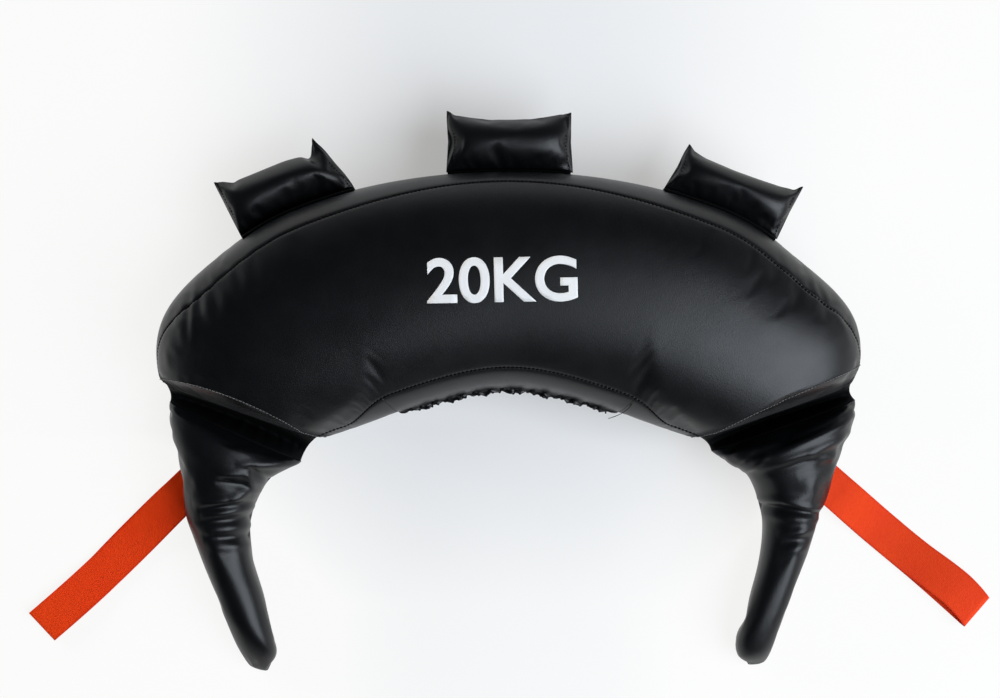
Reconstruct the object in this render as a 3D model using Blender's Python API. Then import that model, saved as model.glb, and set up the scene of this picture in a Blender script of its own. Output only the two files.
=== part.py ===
"""Bulgarian training bag lying flat: sand-filled crescent, two horns, three grips, two webbing loops."""

import math

import bmesh
import bpy
from mathutils import Vector
from mathutils.bvhtree import BVHTree

# Outline of the crescent in plan, in metres. The origin is the middle of the whole bag on the floor.
CRESCENT_HALF_WIDTH = 0.351
CRESCENT_RIM_RISE = 0.182
RIM_CENTRE_Y = 0.0400
RIM_END_DEG = 99.0
LEFT_SHOULDER_DRAW = 0.0055
RIGHT_SHOULDER_DRAW = 0.0080
SHOULDER_DRAW_STATION_SHARE = 0.60
SHOULDER_DRAW_SPAN_SHARE = 0.22
INNER_EDGE_Y = 0.0077
INNER_END_X = 0.190
INNER_EDGE_ROUNDING = 0.020
INNER_EDGE_SLOPE_SHARE = 0.36
INNER_SPREAD_DEG = 60.0

# Height of the filled crescent and how far its underside is pressed flat by the sand.
HEIGHT_MIDDLE = 0.160
HEIGHT_END = 0.125
FLOOR_FLATTENING = 0.004
SECTION_POWER = 2.3

# Leather, wadding and the small gap left between neighbouring pieces.
LEATHER_THICKNESS = 0.0024
WADDING_THICKNESS = 0.005
WADDING_SLACK = 0.0008
FIT_GAP = 0.0003

# Seams between the panels and the gusset.
OUTER_SEAM_INSET_MIDDLE = 0.013
OUTER_SEAM_INSET_SHOULDER = 0.0235
OUTER_SEAM_INSET_END = 0.003
INNER_SEAM_INSET_MIDDLE = 0.020
INNER_SEAM_INSET_END = 0.004
UNDERSIDE_SEAM_INSET_SUM = 0.034
SHOULDER_STATION_SHARE = 0.38
SEAM_FALL_STATION_SHARE = 0.64
RIM_END_STATION_SHARE = 0.94
BAY_STATION_SHARE = 0.46
BAY_END_STATION_SHARE = 0.76
SEAM_GROOVE_DEPTH = 0.003
SEAM_GROOVE_RUN = 0.010
THREAD_RADIUS = 0.0009
SEAM_THREAD_END_SHARE = 0.006
SEAM_THREAD_CLEARANCE = 2.0 * FIT_GAP
LAID_THREAD_CLEARANCE = 3.0 * FIT_GAP

# Laced closure at the middle of the inner edge.
CLOSURE_END_SHARE = 0.5
CLOSURE_SLIVER_SHARE = 0.02
CLOSURE_LIP = 0.005
LIP_END_SHARE = 0.55
LIP_FADE_POWER = 8
LIP_SWING_SHARE = 0.12
LIP_SWING_LEAD = 1.0
LIP_ROW_SHARES = (0.0, 0.5, 1.0)
LIP_RUFFLE = 0.0022
LIP_RUFFLE_COUNT = 8
LIP_RUFFLE_FADE_POWER = 6
FLAP_TURN_SHARE = 0.35
LACING_THREAD_RADIUS = 0.0008
LACING_STITCHES = 13
LACING_BITE = 0.002
LACING_SPAN_SHARE = 0.9
LACING_BITE_SHARES = (0.08, 0.24)
LACING_EDGE_SHARES = (0.34, 0.48)
LACING_EDGE_RISE_SHARE = 0.9

# Necks and horns.
COLLAR_WIDTH = 0.0205
COLLAR_BULGE = 0.004
COLLAR_STITCH_INSET = 0.004
COLLAR_STITCH_START_DEG = -30.0
COLLAR_STITCH_SPAN_DEG = 240.0
TIP_STITCH_START_DEG = 15.0
TIP_STITCH_SPAN_DEG = 150.0
HORN_LENGTH = 0.250
HORN_LEAN_DEG = 26.0
HORN_ROOT_HEIGHT = 0.092
HORN_FLOOR_GAP = 0.001
HORN_FLATTENING = 0.003
HORN_SECTION_POWER = 2.15

# Webbing loops.
WEBBING_WIDTH = 0.039
WEBBING_THICKNESS = 0.0024
LEFT_LOOP_LENGTH = 0.201
RIGHT_LOOP_LENGTH = 0.1915
LEFT_LOOP_DIRECTION_DEG = -44.0
RIGHT_LOOP_DIRECTION_DEG = -41.0
LOOP_STANDOFF = 0.016
LOOP_PIVOT_HEIGHT = 0.016
LOOP_PIVOT_RADIUS = 0.0007
LOOP_OPENING = 0.010
LOOP_DROP_RUN = 0.045
LOOP_FLOOR_GAP = 0.001
LOOP_TAB_THICKNESS = 0.005
LOOP_TAB_ALONG_SHARE = 0.197
LOOP_RUN_SHARES = (0.45, 0.7)
LOOP_SAG_SHARE = 0.2
LOOP_DROP_HEIGHT_SHARE = 0.65
LOOP_ROOT_TURN_DEG = 75.0

# Stuffed grips on the outer gusset.
GRIP_LENGTH = 0.122
GRIP_DEPTH = 0.058
GRIP_THICKNESS = 0.042
GRIP_COVER_THICKNESS = 0.0015
GRIP_SIDE_DEG = 36.5
GRIP_WAIST = 0.003
GRIP_BASE_MIN_THICKNESS = 0.0023
GRIP_BASE_HEIGHT = 0.024
GRIP_HINGE_GAP = 0.00035
GRIP_BASE_END_MARGIN = 0.005
GRIP_SLOT_DEG = 10.0
GRIP_FULLNESS_POWER = 2.6
GRIP_LEAN_POWER = 0.35

# A fitted block keeps this from the curved piece that it is sewn to.
SEAT_GAP = 0.0006

# Seen from above, the horn's outer and inner edges as shares of its length, along and across its
# axis, with its height as a share of the height at its root.
HORN_EDGE_SHARES = (
    ((-0.14, 0.27), (0.14, -0.27), 1.00),
    ((-0.07, 0.27), (0.172, -0.194), 0.97),
    ((0.00, 0.268), (0.20, -0.136), 0.93),
    ((0.07, 0.252), (0.262, -0.086), 0.87),
    ((0.184, 0.236), (0.338, -0.048), 0.79),
    ((0.306, 0.22), (0.416, -0.028), 0.73),
    ((0.40, 0.20), (0.544, -0.028), 0.69),
    ((0.53, 0.168), (0.672, -0.05), 0.66),
    ((0.656, 0.132), (0.772, -0.066), 0.61),
    ((0.766, 0.106), (0.88, -0.084), 0.54),
    ((0.886, 0.076), (0.944, -0.074), 0.42),
    ((0.955, 0.052), (0.985, -0.04), 0.27),
    ((0.99, 0.034), (1.00, -0.022), 0.16),
)

# Counts that set how smooth the pieces are.
BODY_STATIONS = 20
CLOSURE_STATIONS = 36
BAG_COUNT = 5
RING_POINTS = 18
FILLING_RING_POINTS = 16
COLLAR_STATIONS = 3
GRIP_STATIONS = 10
GRIP_RING_POINTS = 13
LOOP_TURN_POINTS = 8
THREAD_SIDES = 5
COLLAR_STITCH_POINTS = 30
TIP_STITCH_POINTS = 10
LOOP_TAB_ACROSS_COUNT = 8
LOOP_TAB_UP_COUNT = 2
GRIP_BASE_ACROSS_COUNT = 14
GRIP_BASE_UP_COUNT = 8

# The horn's closed tip has no lining over its last rings, and its stuffing ends one ring before that.
UNLINED_TIP_COUNT = 2
UNSTUFFED_TIP_COUNT = 3

# Small steps for measuring directions, and the angle beyond which an edge is drawn sharp.
STATION_PROBE = 0.01
PROBE_DEG = 0.5
ROUNDING_SLACK = 1e-9
SHARP_EDGE_DEG = 40.0

PANEL_POSITION_SHARES = (0.2, 0.4, 0.6, 0.8)
GUSSET_POSITION_SHARES = (0.25, 0.42, 0.58, 0.75)
GROOVE_RUN_SHARES = (0.0, 0.35, 1.0)
GROOVE_DEPTH_SHARES = (1.0, 0.8, 0.0)

COLOURS = {
    "black_leather": ((0.018, 0.019, 0.022), 0.42),
    "black_thread": ((0.03, 0.03, 0.032), 0.7),
    "grey_wadding": ((0.62, 0.60, 0.56), 0.95),
    "sand_bag_cloth": ((0.45, 0.36, 0.24), 0.9),
    "red_webbing": ((0.80, 0.09, 0.03), 0.65),
}


def clear_scene():
    """Start from an empty scene."""
    for obj in list(bpy.data.objects):
        bpy.data.objects.remove(obj, do_unlink=True)


def material(name):
    """Give the named material, made on first use."""
    found = bpy.data.materials.get(name)
    if found:
        return found
    colour, roughness = COLOURS[name]
    made = bpy.data.materials.new(name)
    made.use_nodes = True
    shader = made.node_tree.nodes["Principled BSDF"]
    shader.inputs["Base Color"].default_value = (*colour, 1.0)
    shader.inputs["Roughness"].default_value = roughness
    made.diffuse_color = (*colour, 1.0)
    return made


def add_object(name, points, faces, material_name, origin=None):
    """Make one closed outward-facing solid, smooth-shaded, with its origin at the given place."""
    place = Vector(origin) if origin else Vector((0.0, 0.0, 0.0))
    mesh = bpy.data.meshes.new(name)
    mesh.from_pydata([Vector(point) - place for point in points], [], faces)
    work = bmesh.new()
    work.from_mesh(mesh)
    bmesh.ops.recalc_face_normals(work, faces=work.faces)
    work.to_mesh(mesh)
    work.free()
    mesh.polygons.foreach_set("use_smooth", [True] * len(mesh.polygons))
    mesh.set_sharp_from_angle(angle=math.radians(SHARP_EDGE_DEG))
    mesh.materials.append(material(material_name))
    obj = bpy.data.objects.new(name, mesh)
    obj.location = place
    bpy.context.scene.collection.objects.link(obj)
    return obj


def sheet_solid(name, outside, inside, material_name, origin=None):
    """Close two matching grids of points, the two faces of a sheet, into one solid."""
    rows = len(outside)
    columns = len(outside[0])
    points = [point for row in outside for point in row]
    points += [point for row in inside for point in row]
    back = rows * columns
    faces = []
    for i in range(rows - 1):
        for j in range(columns - 1):
            a = i * columns + j
            faces.append((a, a + 1, a + columns + 1, a + columns))
            faces.append((back + a, back + a + columns, back + a + columns + 1, back + a + 1))
    for i in range(rows - 1):
        for j in (0, columns - 1):
            a = i * columns + j
            faces.append((a, a + columns, back + a + columns, back + a))
    for j in range(columns - 1):
        for i in (0, rows - 1):
            a = i * columns + j
            faces.append((a, a + 1, back + a + 1, back + a))
    return add_object(name, points, faces, material_name, origin)


def ring_faces(first, second, count):
    """Join two closed rings of points with a band of faces."""
    return [(first + k, first + (k + 1) % count, second + (k + 1) % count, second + k) for k in range(count)]


def filled_loft(name, rings, material_name, origin=None):
    """Close a row of rings into one solid with a flat fan on each end."""
    count = len(rings[0])
    points = [point for ring in rings for point in ring]
    faces = []
    for i in range(len(rings) - 1):
        faces += ring_faces(i * count, (i + 1) * count, count)
    for ring, start in ((rings[0], 0), (rings[-1], (len(rings) - 1) * count)):
        middle = sum((Vector(point) for point in ring), Vector()) / count
        points.append(middle)
        faces += [(start + k, start + (k + 1) % count, len(points) - 1) for k in range(count)]
    return add_object(name, points, faces, material_name, origin)


def open_sleeve(name, outside, inside, material_name, origin=None):
    """Close two rows of rings into a sleeve that is open at both ends."""
    count = len(outside[0])
    rows = len(outside)
    points = [point for ring in outside for point in ring] + [point for ring in inside for point in ring]
    back = rows * count
    faces = []
    for i in range(rows - 1):
        faces += ring_faces(i * count, (i + 1) * count, count)
        faces += ring_faces(back + i * count, back + (i + 1) * count, count)
    faces += ring_faces(0, back, count)
    faces += ring_faces((rows - 1) * count, back + (rows - 1) * count, count)
    return add_object(name, points, faces, material_name, origin)


def capped_sleeve(name, outside, inside, material_name, origin=None):
    """Close two rows of rings into a sock that is open at its first ring only."""
    count = len(outside[0])
    points = [point for ring in outside for point in ring] + [point for ring in inside for point in ring]
    back = len(outside) * count
    faces = ring_faces(0, back, count)
    for i in range(len(outside) - 1):
        faces += ring_faces(i * count, (i + 1) * count, count)
    for i in range(len(inside) - 1):
        faces += ring_faces(back + i * count, back + (i + 1) * count, count)
    ends = ((outside[-1], (len(outside) - 1) * count), (inside[-1], back + (len(inside) - 1) * count))
    for ring, start in ends:
        middle = sum((Vector(point) for point in ring), Vector()) / count
        points.append(middle)
        faces += [(start + k, start + (k + 1) % count, len(points) - 1) for k in range(count)]
    return add_object(name, points, faces, material_name, origin)


def thread(name, path, radius, material_name, origin=None):
    """Lay a round thread along a path, its rings carried on without a twist."""
    path = [Vector(point) for point in path]
    steps = [(path[k + 1] - path[k]).normalized() for k in range(len(path) - 1)]
    side = steps[0].orthogonal().normalized()
    rings = []
    for k, point in enumerate(path):
        before = steps[max(k - 1, 0)]
        after = steps[min(k, len(steps) - 1)]
        along = (before + after).normalized()
        side = (side - along * side.dot(along)).normalized()
        up = along.cross(side)
        angles = [2.0 * math.pi * j / THREAD_SIDES for j in range(THREAD_SIDES)]
        rings.append([point + (side * math.cos(a) + up * math.sin(a)) * radius for a in angles])
    return filled_loft(name, rings, material_name, origin)


def signed_power(value, power):
    """Raise a number to a power and keep its sign."""
    return math.copysign(abs(value) ** power, value)


def rounded_section(half_width, half_height, degrees, power):
    """Give a point of a full, slightly boxy oval: 0 is the outer edge, 90 the top."""
    angle = math.radians(degrees)
    across = half_width * signed_power(math.cos(angle), 2.0 / power)
    up = half_height * signed_power(math.sin(angle), 2.0 / power)
    return across, up


def shoulder_draw(station):
    """How far a shoulder is drawn in beside its grip, where the rim runs nearly straight."""
    away = min(abs(abs(station) - SHOULDER_DRAW_STATION_SHARE) / SHOULDER_DRAW_SPAN_SHARE, 1.0)
    depth = LEFT_SHOULDER_DRAW if station < 0.0 else RIGHT_SHOULDER_DRAW
    return depth * (1.0 + math.cos(math.pi * away)) / 2.0


def rim_point(station):
    """Outer edge of the crescent in plan; the stations run from -1 at the left neck to 1."""
    turn = math.radians(RIM_END_DEG * station)
    draw = shoulder_draw(station)
    x = (CRESCENT_HALF_WIDTH - draw) * math.sin(turn)
    y = RIM_CENTRE_Y + (CRESCENT_RIM_RISE - draw) * math.cos(turn)
    return Vector((x, y, 0.0))


def inner_edge_point(station):
    """Inner edge of the crescent in plan: a rounded bay with nearly straight sides."""
    spread = math.radians(INNER_SPREAD_DEG)
    x = INNER_END_X * math.sin(spread * station) / math.sin(spread)
    fall = math.hypot(INNER_EDGE_ROUNDING, INNER_EDGE_SLOPE_SHARE * x) - INNER_EDGE_ROUNDING
    return Vector((x, INNER_EDGE_Y - fall, 0.0))


def crescent_section(station):
    """Give the middle, the outward direction, the half width and the height of a slice."""
    outer = rim_point(station)
    inner = inner_edge_point(station)
    width = (outer - inner).length
    height = HEIGHT_MIDDLE - (HEIGHT_MIDDLE - HEIGHT_END) * station ** 2
    return (outer + inner) / 2.0, (outer - inner) / width, width / 2.0, height


def crescent_point(station, degrees, inset):
    """Give a point of the crescent a set depth below its skin; the underside lies flat on the floor."""
    middle, outward, half_width, height = crescent_section(station)
    half_height = (height + FLOOR_FLATTENING) / 2.0
    x, z = rounded_section(half_width - inset, half_height - inset, degrees, SECTION_POWER)
    z = max(z + (height - FLOOR_FLATTENING) / 2.0, inset)
    return middle + outward * x + Vector((0.0, 0.0, z))


def seam_angle(station, seam_inset):
    """Give the angle at which a seam lies a set distance inside the edge, seen from above."""
    half_width = crescent_section(station)[2]
    return math.degrees(math.acos((1.0 - seam_inset / half_width) ** (SECTION_POWER / 2.0)))


def angle_of_run(station, degrees, run):
    """Turn a distance over the skin into an angle at that place."""
    ahead = crescent_point(station, degrees + PROBE_DEG, 0.0)
    behind = crescent_point(station, degrees - PROBE_DEG, 0.0)
    return 2.0 * PROBE_DEG * run / (ahead - behind).length


def rim_reach():
    """Length of the rim per station beside a neck."""
    return (rim_point(1.0) - rim_point(1.0 - STATION_PROBE)).length / STATION_PROBE


def body_ends():
    """Station of the body's end just inside a neck, a fit gap from the collar."""
    return 1.0 - FIT_GAP / rim_reach()


def half_gap_stations():
    """Half a fit gap along the inner edge, in stations."""
    return FIT_GAP / (2.0 * INNER_END_X)


def stations_between(first, last, count):
    """Spread stations evenly and include both ends."""
    return [first + (last - first) * k / count for k in range(count + 1)]


def panel_stations():
    """Stations of the panels, seams and wadding, from neck to neck."""
    return stations_between(-body_ends(), body_ends(), BODY_STATIONS)


def skin_columns(station, start, end, shares):
    """Give (angle, groove depth) across a panel that dips into a seam groove along both edges."""
    gap = angle_of_run(station, start, FIT_GAP / 2.0)
    first = start + gap
    last = end - gap
    first_run = angle_of_run(station, first + gap, SEAM_GROOVE_RUN)
    last_run = angle_of_run(station, last - gap, SEAM_GROOVE_RUN)
    grooves = list(zip(GROOVE_RUN_SHARES, GROOVE_DEPTH_SHARES))
    columns = [(first + first_run * run, SEAM_GROOVE_DEPTH * depth) for run, depth in grooves]
    columns += [(first + (last - first) * share, 0.0) for share in shares]
    columns += [(last - last_run * run, SEAM_GROOVE_DEPTH * depth) for run, depth in reversed(grooves)]
    return columns


def on_facets(station, row_at):
    """Give a row of points between the panels' own stations, so neighbours share their seam line."""
    end = body_ends()
    place = (station + end) * BODY_STATIONS / (2.0 * end)
    low = min(int(place + ROUNDING_SLACK), BODY_STATIONS - 1)
    first = row_at(-end + 2.0 * end * low / BODY_STATIONS)
    second = row_at(-end + 2.0 * end * (low + 1) / BODY_STATIONS)
    return [a.lerp(b, place - low) for a, b in zip(first, second)]


def skin_row(station, columns_at, inset):
    """Give one row of a leather skin, a set depth below its outside."""
    def row_at(place):
        return [crescent_point(place, angle, depth + inset) for angle, depth in columns_at(place)]

    return on_facets(station, row_at)


def skin_panel(name, stations, edges_at, shares):
    """Make a leather panel between two seams."""
    def columns_at(station):
        start, end = edges_at(station)
        return skin_columns(station, start, end, shares)

    outside = [skin_row(station, columns_at, 0.0) for station in stations]
    inside = [skin_row(station, columns_at, LEATHER_THICKNESS) for station in stations]
    return sheet_solid(name, outside, inside, "black_leather")


def eased(share):
    """Turn a share into one that starts and stops gently."""
    share = min(max(share, 0.0), 1.0)
    return share * share * (3.0 - 2.0 * share)


def outer_seam_inset(station):
    """How far the upper outer seam lies inside the rim: most on the shoulders, least at the necks."""
    place = abs(station)
    rise = (OUTER_SEAM_INSET_SHOULDER - OUTER_SEAM_INSET_MIDDLE) * eased(place / SHOULDER_STATION_SHARE)
    fall_share = (place - SEAM_FALL_STATION_SHARE) / (RIM_END_STATION_SHARE - SEAM_FALL_STATION_SHARE)
    fall = (OUTER_SEAM_INSET_SHOULDER - OUTER_SEAM_INSET_END) * eased(fall_share)
    return OUTER_SEAM_INSET_MIDDLE + rise - fall


def inner_seam_inset(station):
    """How far the upper inner seam lies inside the inner edge: least beside the necks."""
    fall_share = (abs(station) - BAY_STATION_SHARE) / (BAY_END_STATION_SHARE - BAY_STATION_SHARE)
    return INNER_SEAM_INSET_MIDDLE - (INNER_SEAM_INSET_MIDDLE - INNER_SEAM_INSET_END) * eased(fall_share)


def outer_top(station):
    """Angle of the upper outer seam."""
    return seam_angle(station, outer_seam_inset(station))


def outer_bottom(station):
    """Angle of the lower outer seam."""
    return 360.0 - seam_angle(station, UNDERSIDE_SEAM_INSET_SUM - outer_seam_inset(station))


def inner_top(station):
    """Angle of the upper inner seam."""
    return 180.0 - seam_angle(station, inner_seam_inset(station))


def inner_bottom(station):
    """Angle of the lower inner seam."""
    return 180.0 + seam_angle(station, UNDERSIDE_SEAM_INSET_SUM - inner_seam_inset(station))


def top_edges(station):
    """Seams along the upper panel."""
    return outer_top(station), inner_top(station)


def bottom_edges(station):
    """Seams along the lower panel."""
    return inner_bottom(station), outer_bottom(station)


def outer_gusset_edges(station):
    """Seams along the strip round the outside."""
    return outer_bottom(station) - 360.0, outer_top(station)


def inner_gusset_edges(station):
    """Seams along the strips on the inner edge."""
    return inner_top(station), inner_bottom(station)


def panels():
    """Upper leather panel, and the lower one, flat where the sand presses it on the floor."""
    skin_panel("top_panel", panel_stations(), top_edges, PANEL_POSITION_SHARES)
    skin_panel("bottom_panel", panel_stations(), bottom_edges, PANEL_POSITION_SHARES)


def outer_gusset():
    """Long leather strip round the outside, between the two outer seams."""
    return skin_panel("outer_gusset", panel_stations(), outer_gusset_edges, GUSSET_POSITION_SHARES)


def inner_gussets():
    """Short leather strips on the inner edge, one each side of the laced closure."""
    start = CLOSURE_END_SHARE + half_gap_stations()
    beyond = [station for station in panel_stations() if station > start + CLOSURE_SLIVER_SHARE]
    for name, sign in (("left_inner_gusset", -1.0), ("right_inner_gusset", 1.0)):
        stations = [sign * station for station in [start] + beyond]
        skin_panel(name, stations, inner_gusset_edges, GUSSET_POSITION_SHARES)


def lip_wave(station):
    """Height of the ruffle along the laced lips."""
    phase = math.pi * LIP_RUFFLE_COUNT * station / CLOSURE_END_SHARE
    fade = 1.0 - abs(station / CLOSURE_END_SHARE) ** LIP_RUFFLE_FADE_POWER
    return LIP_RUFFLE * math.sin(phase) * fade


def lip_length(station):
    """How far the lips stand out from the inner edge, less where the ruffle turns."""
    phase = math.pi * LIP_RUFFLE_COUNT * station / CLOSURE_END_SHARE
    fade = math.sqrt(max(0.0, 1.0 - abs(station / CLOSURE_END_SHARE) ** LIP_FADE_POWER))
    fullness = LIP_END_SHARE + (1.0 - LIP_END_SHARE) * fade
    return CLOSURE_LIP * fullness * (1.0 + LIP_SWING_SHARE * math.sin(phase + LIP_SWING_LEAD))


def lip_point(station, out, up):
    """Give a point of the lips: out from the inner edge and up from the closing line."""
    middle, outward, half_width, height = crescent_section(station)
    level = (height - FLOOR_FLATTENING) / 2.0
    share = max(out, 0.0) / CLOSURE_LIP
    return middle - outward * (half_width + out) + Vector((0.0, 0.0, level + up + lip_wave(station) * share))


def flap_columns(station, sign):
    """Give (angle, groove depth) over a flap from its seam to where it turns out."""
    seam = 180.0 - inner_top(station) if sign > 0.0 else inner_bottom(station) - 180.0
    gap = angle_of_run(station, 180.0 - sign * seam, FIT_GAP / 2.0)
    run = angle_of_run(station, 180.0 - sign * seam, SEAM_GROOVE_RUN)
    columns = []
    for run_share, depth_share in zip(GROOVE_RUN_SHARES, GROOVE_DEPTH_SHARES):
        angle = 180.0 - sign * (seam - gap - run * run_share)
        columns.append((angle, SEAM_GROOVE_DEPTH * depth_share))
    return columns + [(180.0 - sign * seam * FLAP_TURN_SHARE, 0.0)]


def closure_flap(name, sign):
    """Leather flap of the closure: it leaves the seam, nears the closing line and turns out into a lip."""
    def columns_at(station):
        return flap_columns(station, sign)

    outside = []
    inside = []
    reach = CLOSURE_END_SHARE - half_gap_stations()
    top = sign * (FIT_GAP / 2.0 + LEATHER_THICKNESS)
    base = sign * FIT_GAP / 2.0
    for station in stations_between(-reach, reach, CLOSURE_STATIONS):
        front = skin_row(station, columns_at, 0.0)
        back = skin_row(station, columns_at, LEATHER_THICKNESS)
        for share in LIP_ROW_SHARES:
            out = lip_length(station) * share
            front.append(lip_point(station, out, top))
            back.append(lip_point(station, out - LEATHER_THICKNESS * (1.0 - share), base))
        outside.append(front)
        inside.append(back)
    return sheet_solid(name, outside, inside, "black_leather")


def closure_lacing():
    """One thread that winds round both lips and draws them together."""
    path = []
    clear = LACING_THREAD_RADIUS + LAID_THREAD_CLEARANCE
    lift = FIT_GAP / 2.0 + LEATHER_THICKNESS + clear
    edge_lift = lift * LACING_EDGE_RISE_SHARE
    span = 2.0 * CLOSURE_END_SHARE * LACING_SPAN_SHARE
    pitch = span / LACING_STITCHES
    for stitch in range(LACING_STITCHES):
        base = -span / 2.0 + pitch * stitch
        for side, start in ((1.0, 0.0), (-1.0, 0.5)):
            for share in LACING_BITE_SHARES:
                station = base + pitch * (start + share)
                path.append(lip_point(station, lip_length(station) - LACING_BITE, side * lift))
            for share, face in zip(LACING_EDGE_SHARES, (side, -side)):
                station = base + pitch * (start + share)
                path.append(lip_point(station, lip_length(station) + clear, face * edge_lift))
    thread("closure_lacing", path[1:-2], LACING_THREAD_RADIUS, "black_thread")


def seam_point(station, angle_at, depth):
    """Give a point a set depth below a seam, on the line that the two panels share."""
    def row_at(place):
        return [crescent_point(place, angle_at(place), depth)]

    return on_facets(station, row_at)[0]


def seam_threads():
    """Threads in the four long seam grooves."""
    depth = SEAM_GROOVE_DEPTH - THREAD_RADIUS - SEAM_THREAD_CLEARANCE
    stations = panel_stations()
    stations[0] += SEAM_THREAD_END_SHARE
    stations[-1] -= SEAM_THREAD_END_SHARE
    seams = (
        ("outer_top_seam", outer_top),
        ("inner_top_seam", inner_top),
        ("inner_bottom_seam", inner_bottom),
        ("outer_bottom_seam", outer_bottom),
    )
    for name, angle_at in seams:
        path = [seam_point(station, angle_at, depth) for station in stations]
        thread(name, path, THREAD_RADIUS, "black_thread")


def waddings():
    """Fibre wadding between the leather and the sand bags, an upper and a lower half."""
    outer = LEATHER_THICKNESS + SEAM_GROOVE_DEPTH + WADDING_SLACK
    half = FILLING_RING_POINTS // 2
    for name, base in (("upper_wadding", 0.0), ("lower_wadding", 180.0)):
        outside = []
        inside = []
        for station in panel_stations():
            edge = angle_of_run(station, 1.0, FIT_GAP)
            angles = [base + min(max(180.0 * k / half, edge), 180.0 - edge) for k in range(half + 1)]
            outside.append([crescent_point(station, angle, outer) for angle in angles])
            inside.append([crescent_point(station, angle, outer + WADDING_THICKNESS) for angle in angles])
        sheet_solid(name, outside, inside, "grey_wadding")


def sand_bags():
    """Inner cloth bags of sand, one after the other inside the wadding."""
    inset = LEATHER_THICKNESS + SEAM_GROOVE_DEPTH + WADDING_SLACK + WADDING_THICKNESS + FIT_GAP
    end = body_ends()
    length = 2.0 * end / BAG_COUNT
    gap = half_gap_stations()
    for bag in range(BAG_COUNT):
        first = -end + length * bag + gap
        rings = []
        for station in stations_between(first, first + length - 2.0 * gap, BODY_STATIONS // BAG_COUNT):
            angles = [360.0 * k / FILLING_RING_POINTS for k in range(FILLING_RING_POINTS)]
            rings.append([crescent_point(station, angle, inset) for angle in angles])
        filled_loft("sand_bag_%d" % (bag + 1), rings, "sand_bag_cloth")


def mirrored(side, point):
    """Carry a point of the right half over to the left half where asked."""
    return Vector((side * point[0], point[1], point[2]))


def neck_normal():
    """Direction in which the right neck leaves the crescent."""
    outward = crescent_section(1.0)[1]
    return Vector((outward[1], -outward[0], 0.0))


def horn_root():
    """Middle of the right horn's root in plan."""
    return crescent_section(1.0)[0] + neck_normal() * COLLAR_WIDTH


def horn_axes():
    """Direction of the right horn's axis and the direction across it to its outer edge."""
    normal = neck_normal()
    lean = math.radians(-HORN_LEAN_DEG)
    x = normal[0] * math.cos(lean) - normal[1] * math.sin(lean)
    y = normal[0] * math.sin(lean) + normal[1] * math.cos(lean)
    return Vector((x, y, 0.0)), Vector((-y, x, 0.0))


def horn_plan(along_share, across_share):
    """Place a point given in shares of the horn's length."""
    along, across = horn_axes()
    return horn_root() + (along * along_share + across * across_share) * HORN_LENGTH


def horn_point(row, degrees, inset):
    """Give a point of the right horn a set depth below its skin."""
    outer_shares, inner_shares, height_share = HORN_EDGE_SHARES[row]
    outer = horn_plan(*outer_shares)
    inner = horn_plan(*inner_shares)
    width = (outer - inner).length
    height = HORN_ROOT_HEIGHT * height_share
    half_height = (height + HORN_FLATTENING) / 2.0
    x, z = rounded_section(width / 2.0 - inset, half_height - inset, degrees, HORN_SECTION_POWER)
    z = max(z + HORN_FLOOR_GAP + (height - HORN_FLATTENING) / 2.0, HORN_FLOOR_GAP + inset)
    return (outer + inner) / 2.0 + (outer - inner) / width * x + Vector((0.0, 0.0, z))


def horn_ring(row, inset, count, side):
    """One ring of the horn's skin."""
    return [mirrored(side, horn_point(row, 360.0 * k / count, inset)) for k in range(count)]


def collar_middle(side):
    """Middle of the neck, where the horn bends."""
    return mirrored(side, crescent_section(1.0)[0] + neck_normal() * COLLAR_WIDTH / 2.0)


def collar_ring(share, inset, side):
    """One ring of the collar, between the crescent's end and the horn's root, bulging half way."""
    swell = COLLAR_BULGE * math.sin(math.pi * share)
    along = FIT_GAP / COLLAR_WIDTH
    share = along + (1.0 - 2.0 * along) * share
    ring = []
    for k in range(RING_POINTS):
        degrees = 360.0 * k / RING_POINTS
        start = crescent_point(1.0, degrees, inset - swell)
        finish = horn_point(0, degrees, inset - swell)
        point = start.lerp(finish, share)
        point[2] = max(point[2], inset)
        ring.append(mirrored(side, point))
    return ring


def collars():
    """Gathered leather necks that let the horns bend."""
    for name, side in (("left_collar", -1.0), ("right_collar", 1.0)):
        shares = [k / COLLAR_STATIONS for k in range(COLLAR_STATIONS + 1)]
        outside = [collar_ring(share, 0.0, side) for share in shares]
        inside = [collar_ring(share, LEATHER_THICKNESS, side) for share in shares]
        open_sleeve(name, outside, inside, "black_leather", collar_middle(side))


def collar_stitching():
    """Heavy hand stitch round the crescent's ends, above the floor."""
    clear = THREAD_RADIUS + LAID_THREAD_CLEARANCE
    station = 1.0 - COLLAR_STITCH_INSET / rim_reach()
    last = COLLAR_STITCH_START_DEG + COLLAR_STITCH_SPAN_DEG
    turns = stations_between(COLLAR_STITCH_START_DEG, last, COLLAR_STITCH_POINTS)
    for name, side in (("left_collar_stitching", -1.0), ("right_collar_stitching", 1.0)):
        path = [mirrored(side, crescent_point(station, turn, -clear)) for turn in turns]
        thread(name, path, THREAD_RADIUS, "black_thread")


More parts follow.
